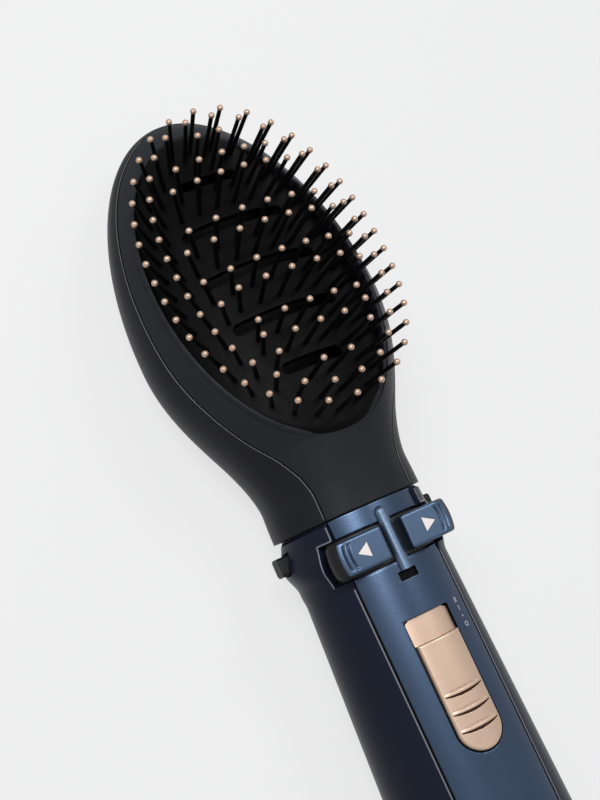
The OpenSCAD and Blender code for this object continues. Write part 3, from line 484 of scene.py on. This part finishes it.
def build_pocket_edges():
    """Painted highlight: a light strip on the shell's edge, from the collar's front round the end
    of the channel.
    """
    in_deg, in_mm = 0.95, 0.35
    edge = math.degrees(math.asin(PANEL / COLLAR))
    far = CHANNEL_DEG + in_deg
    front = CHANNEL[1] + in_mm
    stops = [(edge + in_deg, y) for y in np.linspace(-0.6, front, 8)]
    stops += [(d, front) for d in np.linspace(edge + 1, far, 14)[1:]]
    stops += [(far, y) for y in np.linspace(CHANNEL[1] + 0.2, CHANNEL[0], 26)]
    mean_r = 22
    path = np.array([(math.radians(d) * mean_r, y) for d, y in stops])
    for side, tag in SIDES:
        rows = []
        for k, (d, y) in enumerate(stops):
            run = path[min(k + 1, len(path) - 1)] - path[max(k - 1, 0)]
            run /= np.linalg.norm(run)
            row = []
            for off, lift in strip(0.2, 0.05, -0.5):
                deg, along = d - off * math.degrees(run[1] / mean_r), y + off * run[0]
                r = float(handle_r(along)) + float(ear(deg, along)) + lift
                row.append((side * r * math.sin(math.radians(deg)), along,
                            r * math.cos(math.radians(deg))))
            rows.append(row)
        verts, faces = tube(rows)
        settle(mesh_piece(tag + "_pocket_edge", verts, faces, m_edge_highlight, "handle"))


def build_panels():
    """Blue front panel with its slot and notch, and the blue plate on the collar."""
    verts, faces = panel_grid(PANEL_BACK + PANEL_GAP, CHANNEL[0], 150)
    obj = mesh_piece("front_plate", verts, faces, m_blue, "handle", ["front_panel"])
    shell(obj, WALL, 0)
    slot = cut(obj, *prism(slot_outline(), -6, 6, taper_frame))
    notch = rectangle((-NOTCH_HALF, NOTCH_HALF), NOTCH_Y)
    notch = cut(obj, *prism(notch, -6, 6, taper_frame))
    shell(obj, 0, 0.30, segments=2, angle=50)
    settle(obj, slot, notch)
    verts, faces = panel_grid(CHANNEL[1], 0, 12)
    obj = mesh_piece("collar_plate", verts, faces, m_blue, "handle", ["front_collar"])
    settle(shell(obj, WALL, EDGE))


# ---------------------------------------------------------------- switch, slider, knobs


# Height of a pad, its inner and outer end in x, the outer edge's rounding and its bow.
PAD_TOP, PAD_IN, PAD_END, PAD_ROUND, PAD_BOW = 24.8, 3.4, 19.5, 4.6, 18.0
PAD_Y = (-16.3, -6.5)
PAD_MID = (PAD_Y[0] + PAD_Y[1]) / 2
PAD_EDGE, PAD_CORNER, PAD_FOOT = 0.8, 0.7, 14.3
PAD_SHADE_FROM = 86                                   # the section's first point of the outer end's painted shade
# Places of the grip grooves in from the outer end, their size, and where they run out.
GROOVES, GROOVE_WIDE, GROOVE_DEEP = (3.3, 4.9), 0.30, 0.5
GROOVE_HALF, GROOVE_FADE = 3.1, 0.8


def pad_section(inset, end):
    """Section of a pad across the handle, from its foot inside to its foot outside."""
    foot = PAD_END - PAD_ROUND
    low = PAD_TOP - PAD_ROUND
    left, top, right = PAD_IN + inset, PAD_TOP - inset, end - inset
    points = [(left, 20.0), (left, 22.0)]
    points += [(left + PAD_CORNER * (1 - math.cos(q)), top - PAD_CORNER + PAD_CORNER * math.sin(q))
               for q in np.linspace(0, math.pi / 2, 8)]
    start = right - PAD_ROUND + inset
    points += [(x, top) for x in np.linspace(left + PAD_CORNER, start, 62)[1:-1]]
    size = PAD_ROUND - inset
    points += [(start + size * math.sin(q), low + size * math.cos(q))
               for q in np.linspace(0, math.pi / 2, 40)]
    points += [(right, low - 0.5), (right - 0.5, low - 1 + inset), (foot, low - 1 + inset),
               (foot, PAD_FOOT)]
    return points


def build_pad(name, side, node):
    """Pad of the switch, with two bowed grip grooves; its outer end is painted dark grey as shade.
    """
    steps = PAD_EDGE * (1 - np.cos(np.linspace(0, math.pi / 2, 8)))
    between = np.linspace(PAD_Y[0] + PAD_EDGE, PAD_Y[1] - PAD_EDGE, 54)[1:-1]
    ys = np.concatenate([PAD_Y[0] + steps, between, PAD_Y[1] - steps[::-1]])
    middle = PAD_END - PAD_BOW
    verts = []
    for y in ys:
        edge = min(y - PAD_Y[0], PAD_Y[1] - y)
        inset = float(rounded(max(0, edge), PAD_EDGE))
        end = middle + math.sqrt(PAD_BOW ** 2 - (y - PAD_MID) ** 2)
        fade = 1 - float(smooth((abs(y - PAD_MID) - GROOVE_HALF) / GROOVE_FADE))
        for x, z in pad_section(inset, end):
            if z > 23:
                run = math.hypot(x - middle, y - PAD_MID)
                for back in GROOVES:
                    away = (run - (PAD_BOW - back)) / GROOVE_WIDE
                    z -= GROOVE_DEEP * math.exp(-(away ** 2)) * fade
            verts.append((side * x, y, z))
    cols = len(verts) // len(ys)
    faces = grid(len(ys), cols, wrap=True)
    faces += [tuple(range(cols))[::-1], tuple((len(ys) - 1) * cols + k for k in range(cols))]
    if side > 0:
        faces = [f[::-1] for f in faces]
    # The pad takes the lighter copy of the blue: painted light.
    obj = mesh_piece(name, verts, faces, m_button_lit, "rotation_switch", [node])
    # The outer end gets the knobs' dark grey: painted shade.
    obj.data.materials.append(m_knob)
    for k, poly in enumerate(obj.data.polygons):
        if k < (len(ys) - 1) * cols and PAD_SHADE_FROM <= k % cols < cols - 1:
            poly.material_index = 1
    add(obj, "EDGE_SPLIT", "crisp", split_angle=math.radians(60))
    return settle(obj)


# Half width of the slider, height of its top and of its foot, and rounding of its edge.
SLIDE_HALF, SLIDE_RISE, SLIDE_SKIRT, SLIDE_EDGE = SLOT_HALF - 0.56, 0.9, -1.0, 0.7
RIDGES, RIDGE_STEP, RIDGE_HALF, RIDGE_BOW = 3, 5.1, 5.9, 0.65


def ridge(x, d):
    """Height that a grip ridge adds at x, d along from its ends, and if that is in its groove,
    where shade is painted.
    """
    lens = max(0.0, 1 - (x / RIDGE_HALF) ** 2)
    thin = max(0.0, 1 - (x / (RIDGE_HALF - 1)) ** 2)
    below = d + RIDGE_BOW * lens
    wide = 0.10 + 0.24 * lens
    rise = 0.22 * lens ** 0.5 * float(smooth((below - wide) / 0.1) * smooth((0.9 - d) / 0.5))
    rise -= 0.16 * thin ** 0.5 * math.exp(-(((d - 0.95) / 0.13) ** 2))
    dark = lens > 0 and abs(below) < wide
    return rise - (0.55 * lens ** 0.5 if dark else 0.0), dark


def build_slider():
    """Gold cap of the power slider, with three ridges; the groove behind each is painted dark brown
    as its shade.
    """
    tail = SLIDE_BACK + SLOT_HALF
    ridged = tail + 11.6
    turn = np.linspace(0, math.pi / 2, 130)
    ys = np.concatenate([tail - SLIDE_HALF * np.cos(turn), np.linspace(tail, ridged, 150)[1:],
                         np.linspace(ridged, SLIDE_FRONT - 0.8, 50)[1:],
                         np.linspace(SLIDE_FRONT - 0.8, SLIDE_FRONT, 8)[1:]])
    us = np.sin(np.linspace(-math.pi / 2, math.pi / 2, 91))
    verts, in_shade = [], []
    rows = [ys[0] - 1e-4, *ys, ys[-1]]
    for k, y in enumerate(rows):
        if y >= tail:
            w = SLIDE_HALF
        else:
            w = math.sqrt(max(1e-6, SLIDE_HALF ** 2 - (tail - y) ** 2))
        for m, u in enumerate([us[0], *us, us[-1]]):
            x = w * u
            if y >= tail:
                edge = min(SLIDE_HALF - abs(x), SLIDE_FRONT - y)
            else:
                edge = SLIDE_HALF - math.hypot(x, tail - y)
            h = SLIDE_RISE - float(rounded(max(0, edge), SLIDE_EDGE))
            added = [ridge(x, y - (tail + i * RIDGE_STEP)) for i in range(RIDGES)]
            h += sum(rise for rise, _ in added)
            in_shade.append(any(dark for _, dark in added))
            skirt = k in (0, len(rows) - 1) or m in (0, len(us) + 1)
            verts.append(slot_point(x, y, SLIDE_SKIRT if skirt else h))
    faces = grid(len(rows), len(us) + 2)
    obj = mesh_piece("slider_cap", verts, faces, m_gold, "power_slider",
                     ["power_slider"])
    # The groove faces get the dark brown, a painted shade.
    obj.data.materials.append(m_groove_shade)
    for poly, face in zip(obj.data.polygons, faces):
        if any(in_shade[q] for q in face):
            poly.material_index = 1
    return settle(obj)


# ---------------------------------------------------------------- head shells

NECK, HALF, TIP, BELLY = 21.3, 38.2, 132.0, 64.0     # half widths; the tip and widest place in y
FLARE, FLARE_END = 1.6, 28.0                         # widening of the neck towards the collar
POWER = 2 / 2.4                                      # squareness of the back's section
RECESS = (31.0, 50.5, 73.1)                          # the oval's half axes, and its middle in y
FACE_Z, FACE_DEG = 11.5, 13.5                        # the face's height there, and its tilt
SLOPE = math.tan(math.radians(FACE_DEG))
FACE_COS, FACE_SIN = math.cos(math.radians(FACE_DEG)), math.sin(math.radians(FACE_DEG))
HEAD_START, HEAD_WALL, HEAD_EDGE = 0.3, 1.7, 0.28
SCREWS_U, SCREWS_V, SCREW_R = (-23.5, 23.5), (-27, 27), 2.2


def ease(y):
    """How far the head has widened from its neck, 0 to 1."""
    u = np.clip((y - 9) / (BELLY - 2 - 9), 0, 1)
    return np.sin(math.pi / 2 * u ** 0.78) ** 2


def head_w(y):
    """Half width of the head."""
    tail = np.sqrt(np.clip(1 - ((y - BELLY) / (TIP - BELLY)) ** 2, 0, 1))
    flare = FLARE * (1 - smooth(y / FLARE_END))
    return np.where(y > BELLY, HALF * tail, NECK + (HALF - NECK) * ease(y) + flare)


def face_at(y):
    """Height of the tilted face."""
    return FACE_Z - SLOPE * (y - RECESS[2])


def recess_x(y):
    """Half width of the oval recess."""
    return RECESS[0] * np.sqrt(np.clip(1 - ((y - RECESS[2]) / RECESS[1]) ** 2, 0, 1))


def belly_z(y):
    """Height of the head's widest line."""
    return -0.02 * y - 0.00035 * y * y


NEAR, FAR = RECESS[2] - RECESS[1], RECESS[2] + RECESS[1]


def crown_h(y):
    """Height of the head above its widest line, such that the recess's rim lies on the face."""
    near = NECK + (face_at(NEAR) - NECK) * (np.maximum(y, 0) / NEAR) ** 2 - belly_z(y)
    far = (face_at(FAR) - belly_z(FAR)) * head_w(y) / head_w(FAR)
    ratio = np.clip(recess_x(y) / np.maximum(head_w(y), 1e-6), 0, 0.999)
    middle = (face_at(y) - belly_z(y)) / np.sqrt(1 - ratio ** 2)
    return np.where(y < NEAR, near, np.where(y > FAR, far, middle))


def keel_h(y):
    """Depth of the head below its widest line."""
    drop = NECK + 4.6 * np.sin(math.pi / 2 * np.clip(y / BELLY, 0, 1)) ** 2 + belly_z(y)
    return np.where(y > BELLY, drop * (head_w(y) / HALF) ** 0.9, drop)


def top_z(x, y):
    """Height of the head's upper surface."""
    ratio = np.clip(np.abs(x) / np.maximum(head_w(y), 1e-6), 0, 1)
    return belly_z(y) + crown_h(y) * np.sqrt(1 - ratio ** 2)


SEAM = np.array([[-5, 16.7], [8, 16.7], [14, 16.2], [20, 15.1], [28, 13.0], [140, -7.2]])


def seam_z(y):
    """Height of the joint between the head's shells."""
    return np.interp(y, SEAM[:, 0], SEAM[:, 1])


def seam_x(y, lift):
    """Half width of the head at the joint, or at a lift above it."""
    ratio = np.clip((seam_z(y) + lift - belly_z(y)) / np.maximum(crown_h(y), 1e-6), 0, 1)
    return head_w(y) * np.sqrt(1 - ratio ** 2)


def face_point(u, v, h):
    """From the frame of the head's face: u to the right, v towards the tip, h out of it."""
    return u, RECESS[2] + v * FACE_COS + h * FACE_SIN, FACE_Z - v * FACE_SIN + h * FACE_COS


def build_front_shell():
    """Front shell of the head, from the recess's wall over its rim to the joint."""
    gap, start = 0.12, HEAD_START
    ys = np.linspace(start, TIP, 2400)
    open_rows = ys[(seam_z(ys) + gap - belly_z(ys)) < crown_h(ys)]
    last = float(open_rows[-1])
    run = np.concatenate([np.linspace(start, 30, 40, endpoint=False),
                          last - (last - 30) * (1 - np.sin(np.linspace(0, math.pi / 2, 90)))])
    right = np.stack([seam_x(run, gap), run], 1)
    right[-1, 0] = 0
    corner = right[0, 0]
    base = np.stack([np.linspace(-corner, corner, 34), np.full(34, start)], 1)
    rim = np.concatenate([right, right[-2::-1] * [-1, 1], base[1:-1]])
    a, b, mid = RECESS
    angle = np.arctan2(rim[:, 0], rim[:, 1] - mid)
    reach = 1 / np.sqrt((np.sin(angle) / a) ** 2 + (np.cos(angle) / b) ** 2)
    edge = np.stack([reach * np.sin(angle), mid + reach * np.cos(angle)], 1)
    down = np.array([0, -FACE_SIN, -FACE_COS])
    rows = []
    edge3 = np.column_stack([edge, face_at(edge[:, 1])])
    fillet = 1.5
    room = np.linalg.norm(rim - edge, axis=1)
    near = edge + (rim - edge) * np.minimum(0.45, fillet / np.maximum(room, 1e-6))[:, None]
    near3 = np.column_stack([near, top_z(near[:, 0], near[:, 1])])
    wall3 = edge3 + down * fillet
    for depth in (9.0, 5.0):
        rows.append(edge3 + down * depth)
    for t in np.linspace(0, 1, 9):
        rows.append(wall3 * (1 - t) ** 2 + 2 * edge3 * t * (1 - t) + near3 * t * t)
    for t in np.linspace(0, 1, 34)[1:]:
        flat = near + (rim - near) * t
        rows.append(np.column_stack([flat, top_z(flat[:, 0], flat[:, 1])]))
    rows[-1][:, 2] = np.where(rim[:, 1] > start + 1e-6, seam_z(rim[:, 1]) + gap, rows[-1][:, 2])
    cols = len(rim)
    verts = np.concatenate(rows)
    faces = [f[::-1] for f in grid(len(rows), cols, wrap=True)]
    # The front shell takes the lighter copy of the head's plastic: painted light.
    obj = mesh_piece("head_front", verts, faces, m_head_lit, "head",
                     ["head_front_shell"])
    return settle(shell(obj, HEAD_WALL, HEAD_EDGE, angle=50))


def build_back_shell():
    """Back shell of the head, from joint to joint round below, flat where the brush lies."""
    gap = 0.10
    ys = np.concatenate([np.linspace(HEAD_START, 30, 34, endpoint=False),
                         30 + (TIP - 30) * np.sin(np.linspace(0, math.pi / 2, 110))])
    cols = 132
    verts = []
    for y in ys:
        w, up, low = (max(0.2, float(f(y))) for f in (head_w, crown_h, keel_h))
        mid = float(belly_z(y))
        ratio = min(1.0, (float(seam_z(y)) - gap - mid) / up)
        first = math.asin(ratio)
        for a in np.linspace(first, -math.pi - first, cols):
            ca, sa = math.cos(a), math.sin(a)
            if sa >= 0:
                x, z = w * ca, mid + up * sa
            else:
                x = w * math.copysign(abs(ca) ** POWER, ca)
                z = mid - low * abs(sa) ** POWER
            verts.append((x, y, max(z, -GRIP)))
    obj = mesh_piece("head_back", verts, grid(len(ys), cols), m_head, "head",
                     ["head_back_shell"], merge=0.01)
    shell(obj, HEAD_WALL, HEAD_EDGE, angle=50)
    holes = []
    for u in SCREWS_U:
        for v in SCREWS_V:
            ring = [(u + SCREW_R * math.cos(q), v + SCREW_R * math.sin(q))
                    for q in np.linspace(0, 2 * math.pi, 32, endpoint=False)]
            holes.append(cut(obj, *prism(ring, -60, -17.6, lambda p: face_point(*p))))
    return settle(obj, *holes)


def build_seam_lines():
    """Painted shade in the joint between the head's shells, and a painted highlight on the back
    shell's rim beside it.
    """
    run = np.concatenate([np.linspace(0.7, 30, 60, endpoint=False), np.linspace(30, TIP - 4, 140)])
    # joint: painted shade in the gap; rim: painted highlight on the back shell's edge.
    for name, middle, half, material in (("joint", 0.22, 0.26, m_gap_shade), ("rim", -0.22, 0.13, m_rim_highlight)):
        for side, tag in SIDES:
            rows = []
            for y in run:
                x, z = float(seam_x(y, 0)), float(seam_z(y))
                if x < 6:
                    continue
                out = np.array([x / float(head_w(y)) ** 2,
                                (z - float(belly_z(y))) / float(crown_h(y)) ** 2])
                out /= np.linalg.norm(out)
                rows.append([(side * (x + out[0] * lift - out[1] * (middle + off)), y,
                              z + out[1] * lift + out[0] * (middle + off))
                             for off, lift in strip(half, 0.04, -0.5)])
            verts, faces = tube(rows)
            settle(mesh_piece("seam_" + name + "_" + tag, verts, faces, material, "head"))


# ---------------------------------------------------------------- pad, pins and tips

DOME_R, DOME_LONG, DOME_RISE = 46.0, 260.0, 3.3
PAD_A, PAD_B = 30.6, RECESS[1] / FACE_COS - 0.4
# Half lengths of the air slots, place of the middle one, step between them, and half width.
VENTS, VENT_MID, VENT_STEP, VENT_R = (9.6, 16.7, 18.5, 16.7, 9.6), 0.9, 16.3, 1.8


def dome_point(u, v, lift=0.0):
    """Point on the pad's crowned top, lifted square to it."""
    q = math.asin(max(-1, min(1, u / DOME_R)))
    x, z = (DOME_R + lift) * math.sin(q), (DOME_R + lift) * math.cos(q) + DOME_LONG - DOME_R
    p = math.asin(v / DOME_LONG)
    return x, z * math.sin(p), z * math.cos(p) + DOME_RISE - DOME_LONG


def build_pad_top():
    """Domed pad with its five air slots."""
    turns = 160
    rings = list(np.linspace(0.04, 0.955, 40)) + list(np.linspace(0.96, 1, 7))
    verts, faces = [], []
    for ring in rings:
        for k in range(turns):
            q = 2 * math.pi * k / turns
            x, y, z = dome_point(ring * PAD_A * math.sin(q), ring * PAD_B * math.cos(q))
            edge = (1 - ring) * PAD_A
            verts.append(face_point(x, y, z - float(rounded(edge, 0.8))))
    for foot in (False, True):
        for k in range(turns):
            q = 2 * math.pi * k / turns
            x, y, z = dome_point(PAD_A * math.sin(q), PAD_B * math.cos(q))
            verts.append(face_point(x, y, -9.4 if foot else min(-6.0, z - 1.2)))
    faces = grid(len(rings) + 2, turns, wrap=True)
    centre = len(verts)
    verts.append(face_point(0, 0, DOME_RISE))
    faces += [((k + 1) % turns, k, centre) for k in range(turns)]
    obj = mesh_piece("vent_pad_top", verts, [f[::-1] for f in faces], m_pad, "head",
                     ["vent_pad", "pin_bed"])
    shell(obj, 2.4, 0)
    cutters = []
    arc = np.linspace(-math.pi / 2, math.pi / 2, 14)
    for i, half in enumerate(VENTS):
        mid = VENT_MID + (i - 2) * VENT_STEP
        r = VENT_R
        ends = [(s * (half - r + r * math.cos(q)), mid + s * r * math.sin(q))
                for s in (1, -1) for q in arc]
        cutters.append(cut(obj, *prism(ends, -14, 10, lambda p: face_point(*p))))
    shell(obj, 0, 0.22, segments=2, angle=55)
    return settle(obj, *cutters)


def signed(v, p):
    """Power of v's size, with v's sign."""
    return math.copysign(abs(v) ** p, v)


def ring_pins(a, b, mid, count, phase):
    """Places of pins spread evenly round an oval of half axes a and b."""
    t = np.radians(np.arange(0, 361))
    power = 2 / 2.25
    line = np.array([[a * signed(math.sin(q), power), -b * signed(math.cos(q), power)] for q in t])
    run = np.concatenate([[0], np.cumsum(np.linalg.norm(np.diff(line, axis=0), axis=1))])
    at = (np.arange(count) + phase) * run[-1] / count
    return [(np.interp(s, run, line[:, 0]), np.interp(s, run, line[:, 1]) + mid) for s in at]


# Rows across the pad: place along it, number of pins, and step between them.
PIN_ROWS = [(36.6, 2, 5), (28.9, 5, 5.2), (22.9, 6, 5.3), (10.2, 6, 5.8), (4.7, 7, 5.6),
            (-4.8, 7, 5.6), (-10.5, 5, 5.8), (-20.5, 5, 5.6), (-26.5, 3, 5.6), (-36.1, 2, 6.2)]
END_PINS = [(15.9, -12.4), (11.6, -24.6), (10.4, -30.2)]
pins = ring_pins(24.4, 46.33, -1, 38, 0) + ring_pins(20.6, 42.53, 0, 34, 0.5)
pins += [((k - (n - 1) / 2) * step, v) for v, n, step in PIN_ROWS for k in range(n)]
pins += [(s * u, v) for u, v in END_PINS for s in (-1, 1)]
PIN_LEN, BALL_R = 18.0, 0.95


def pin_axis(u, v):
    """Foot of a pin, and its axis with two directions square to it."""
    foot = np.array(face_point(*dome_point(u, v)))
    head = np.array(face_point(*dome_point(u, v, 10)))
    along = (head - foot) / np.linalg.norm(head - foot)
    side = np.cross(along, [0, 1, 0])
    side /= np.linalg.norm(side)
    return foot, along, side, np.cross(along, side)


def lathe(profile, sides, foot, along, side, other):
    """Rings of points round an axis, for a profile of heights and radii."""
    ring = np.linspace(0, 2 * math.pi, sides, endpoint=False)
    return [foot + along * h + r * (math.cos(q) * side + math.sin(q) * other)
            for h, r in profile for q in ring]


def build_on_pins(name, profile, sides, material, stands_for=()):
    """One piece with the profile turned round every pin's axis."""
    verts, faces = [], []
    for u, v in pins:
        start = len(verts)
        verts += lathe(profile, sides, *pin_axis(u, v))
        faces += [tuple(start + q for q in f) for f in grid(len(profile), sides, wrap=True)]
    settle(mesh_piece(name, verts, faces, material, "head", stands_for))


def build_pins():
    """Nylon pins with a thick root, and the ball on the end of each."""
    stem = [(-0.5, 1.35), (0.0, 1.2), (0.35, 0.92), (0.9, 0.78), (2.5, 0.72), (9, 0.68),
            (PIN_LEN - 0.4, 0.64)]
    build_on_pins("pins", stem, 12, m_pin)
    ball = [(PIN_LEN - BALL_R * math.cos(q), max(1e-3, BALL_R * math.sin(q)))
            for q in np.linspace(0, math.pi, 13)]
    build_on_pins("ball_tips", ball, 18, m_tip, ["pin_tips"])


build_side_shell()
build_panels()
build_pad("left_button", -1, "left_pad")
build_pad("right_button", 1, "right_pad")
build_slider()
build_slot_shade()
build_panel_lines()
build_pocket_edges()
build_front_shell()
build_back_shell()
build_seam_lines()
build_pad_top()
build_pins()

KNOB_EDGE = 0.45                                # rounding of the knobs' own solids
for name in ("left_knob", "right_knob"):
    add(nodes[name], "WELD", "weld", merge_threshold=2e-6)
    add(nodes[name], "BEVEL", "edges", width=KNOB_EDGE * MM, segments=3, limit_method="ANGLE",
        angle_limit=math.radians(35))

# ---------------------------------------------------------------- floor, light and camera

FLOOR_HALF, FLOOR_Z = 4, -0.0004
floor_mesh = bpy.data.meshes.new("floor")
floor_mesh.from_pydata([(x, y, FLOOR_Z) for x, y in rectangle((-FLOOR_HALF, FLOOR_HALF),
                                                              (-FLOOR_HALF, FLOOR_HALF))],
                       [], [(0, 1, 2, 3)])
floor = bpy.data.objects.new("floor", floor_mesh)
scene.collection.objects.link(floor)
BACK, GLOW = (0.865, 0.865, 0.87), 0.82     # pale background; share of it in the floor's look


def pale_where_seen(tree, output_kind, light, pale):
    """Ends tree in light for diffuse rays, and in pale for the rays that the eye follows."""
    output = tree.nodes.new(output_kind)
    path = tree.nodes.new("ShaderNodeLightPath")
    total = path.outputs["Is Camera Ray"]
    for ray in ("Is Glossy Ray", "Is Transmission Ray"):
        both = tree.nodes.new("ShaderNodeMath")
        both.operation = "MAXIMUM"
        tree.links.new(total, both.inputs[0])
        tree.links.new(path.outputs[ray], both.inputs[1])
        total = both.outputs[0]
    seen = tree.nodes.new("ShaderNodeMixShader")
    tree.links.new(total, seen.inputs[0])
    tree.links.new(light.outputs[0], seen.inputs[1])
    tree.links.new(pale.outputs[0], seen.inputs[2])
    tree.links.new(seen.outputs[0], output.inputs[0])


m_floor = bpy.data.materials.new("floor")
m_floor.use_nodes = True
tree = m_floor.node_tree
tree.nodes.clear()
lit = tree.nodes.new("ShaderNodeBsdfDiffuse")
lit.inputs["Color"].default_value = (0.80, 0.80, 0.80, 1)
glow = tree.nodes.new("ShaderNodeEmission")
glow.inputs["Color"].default_value = (*BACK, 1)
part = tree.nodes.new("ShaderNodeMixShader")
part.inputs[0].default_value = GLOW
tree.links.new(lit.outputs[0], part.inputs[1])
tree.links.new(glow.outputs[0], part.inputs[2])
pale_where_seen(tree, "ShaderNodeOutputMaterial", lit, part)
floor_mesh.materials.append(m_floor)

world = bpy.data.worlds.new("studio")
scene.world = world
world.use_nodes = True
tree = world.node_tree
tree.nodes.clear()
ambient = tree.nodes.new("ShaderNodeBackground")
ambient.inputs["Color"].default_value = (0.90, 0.94, 1.0, 1)
ambient.inputs["Strength"].default_value = 0.20
backdrop = tree.nodes.new("ShaderNodeBackground")
backdrop.inputs["Color"].default_value = (*BACK, 1)
pale_where_seen(tree, "ShaderNodeOutputWorld", ambient, backdrop)


def softbox(name, centre, size, power):
    """Rectangular lamp that faces the object."""
    light = bpy.data.lights.new(name, "AREA")
    light.shape = "RECTANGLE"
    light.size, light.size_y = size
    light.energy = power
    obj = bpy.data.objects.new(name, light)
    scene.collection.objects.link(obj)
    obj.location = centre
    obj.rotation_mode = "QUATERNION"
    obj.rotation_quaternion = (Vector(AIM) - Vector(centre)).to_track_quat("-Z", "Y")


AIM = (0.0, 0.03, 0.03)                         # metres, like the lamps' places and sizes
softbox("key", (-0.34, 0.34, 0.89), (0.34, 0.42), 7.4)
softbox("fill", (0.36, 0.30, 0.83), (0.24, 0.30), 2.6)

# The view that was fitted to the photo. The eye's place is in the shapes' millimetres.
FOCAL, PICTURE, SENSOR = 1304.517, 800, 36      # focal length and longer side in pixels; mm
camera = bpy.data.cameras.new("camera")
camera.lens = FOCAL / PICTURE * SENSOR
camera.sensor_width = SENSOR
camera.clip_start, camera.clip_end = 0.01, 20
view = bpy.data.objects.new("camera", camera)
scene.collection.objects.link(view)
EYE = (-150.074, -7.132, 350.685)
RIGHT = Vector((0.85705, -0.40483, 0.3187))
DOWN = Vector((-0.33342, -0.90737, -0.25596))
AHEAD = Vector((0.3928, 0.11311, -0.91264))
turn = Matrix((RIGHT, -DOWN, -AHEAD)).transposed().to_4x4()
view.matrix_world = Matrix.Translation(place(EYE)) @ turn
scene.camera = view
scene.view_settings.view_transform = "Standard"
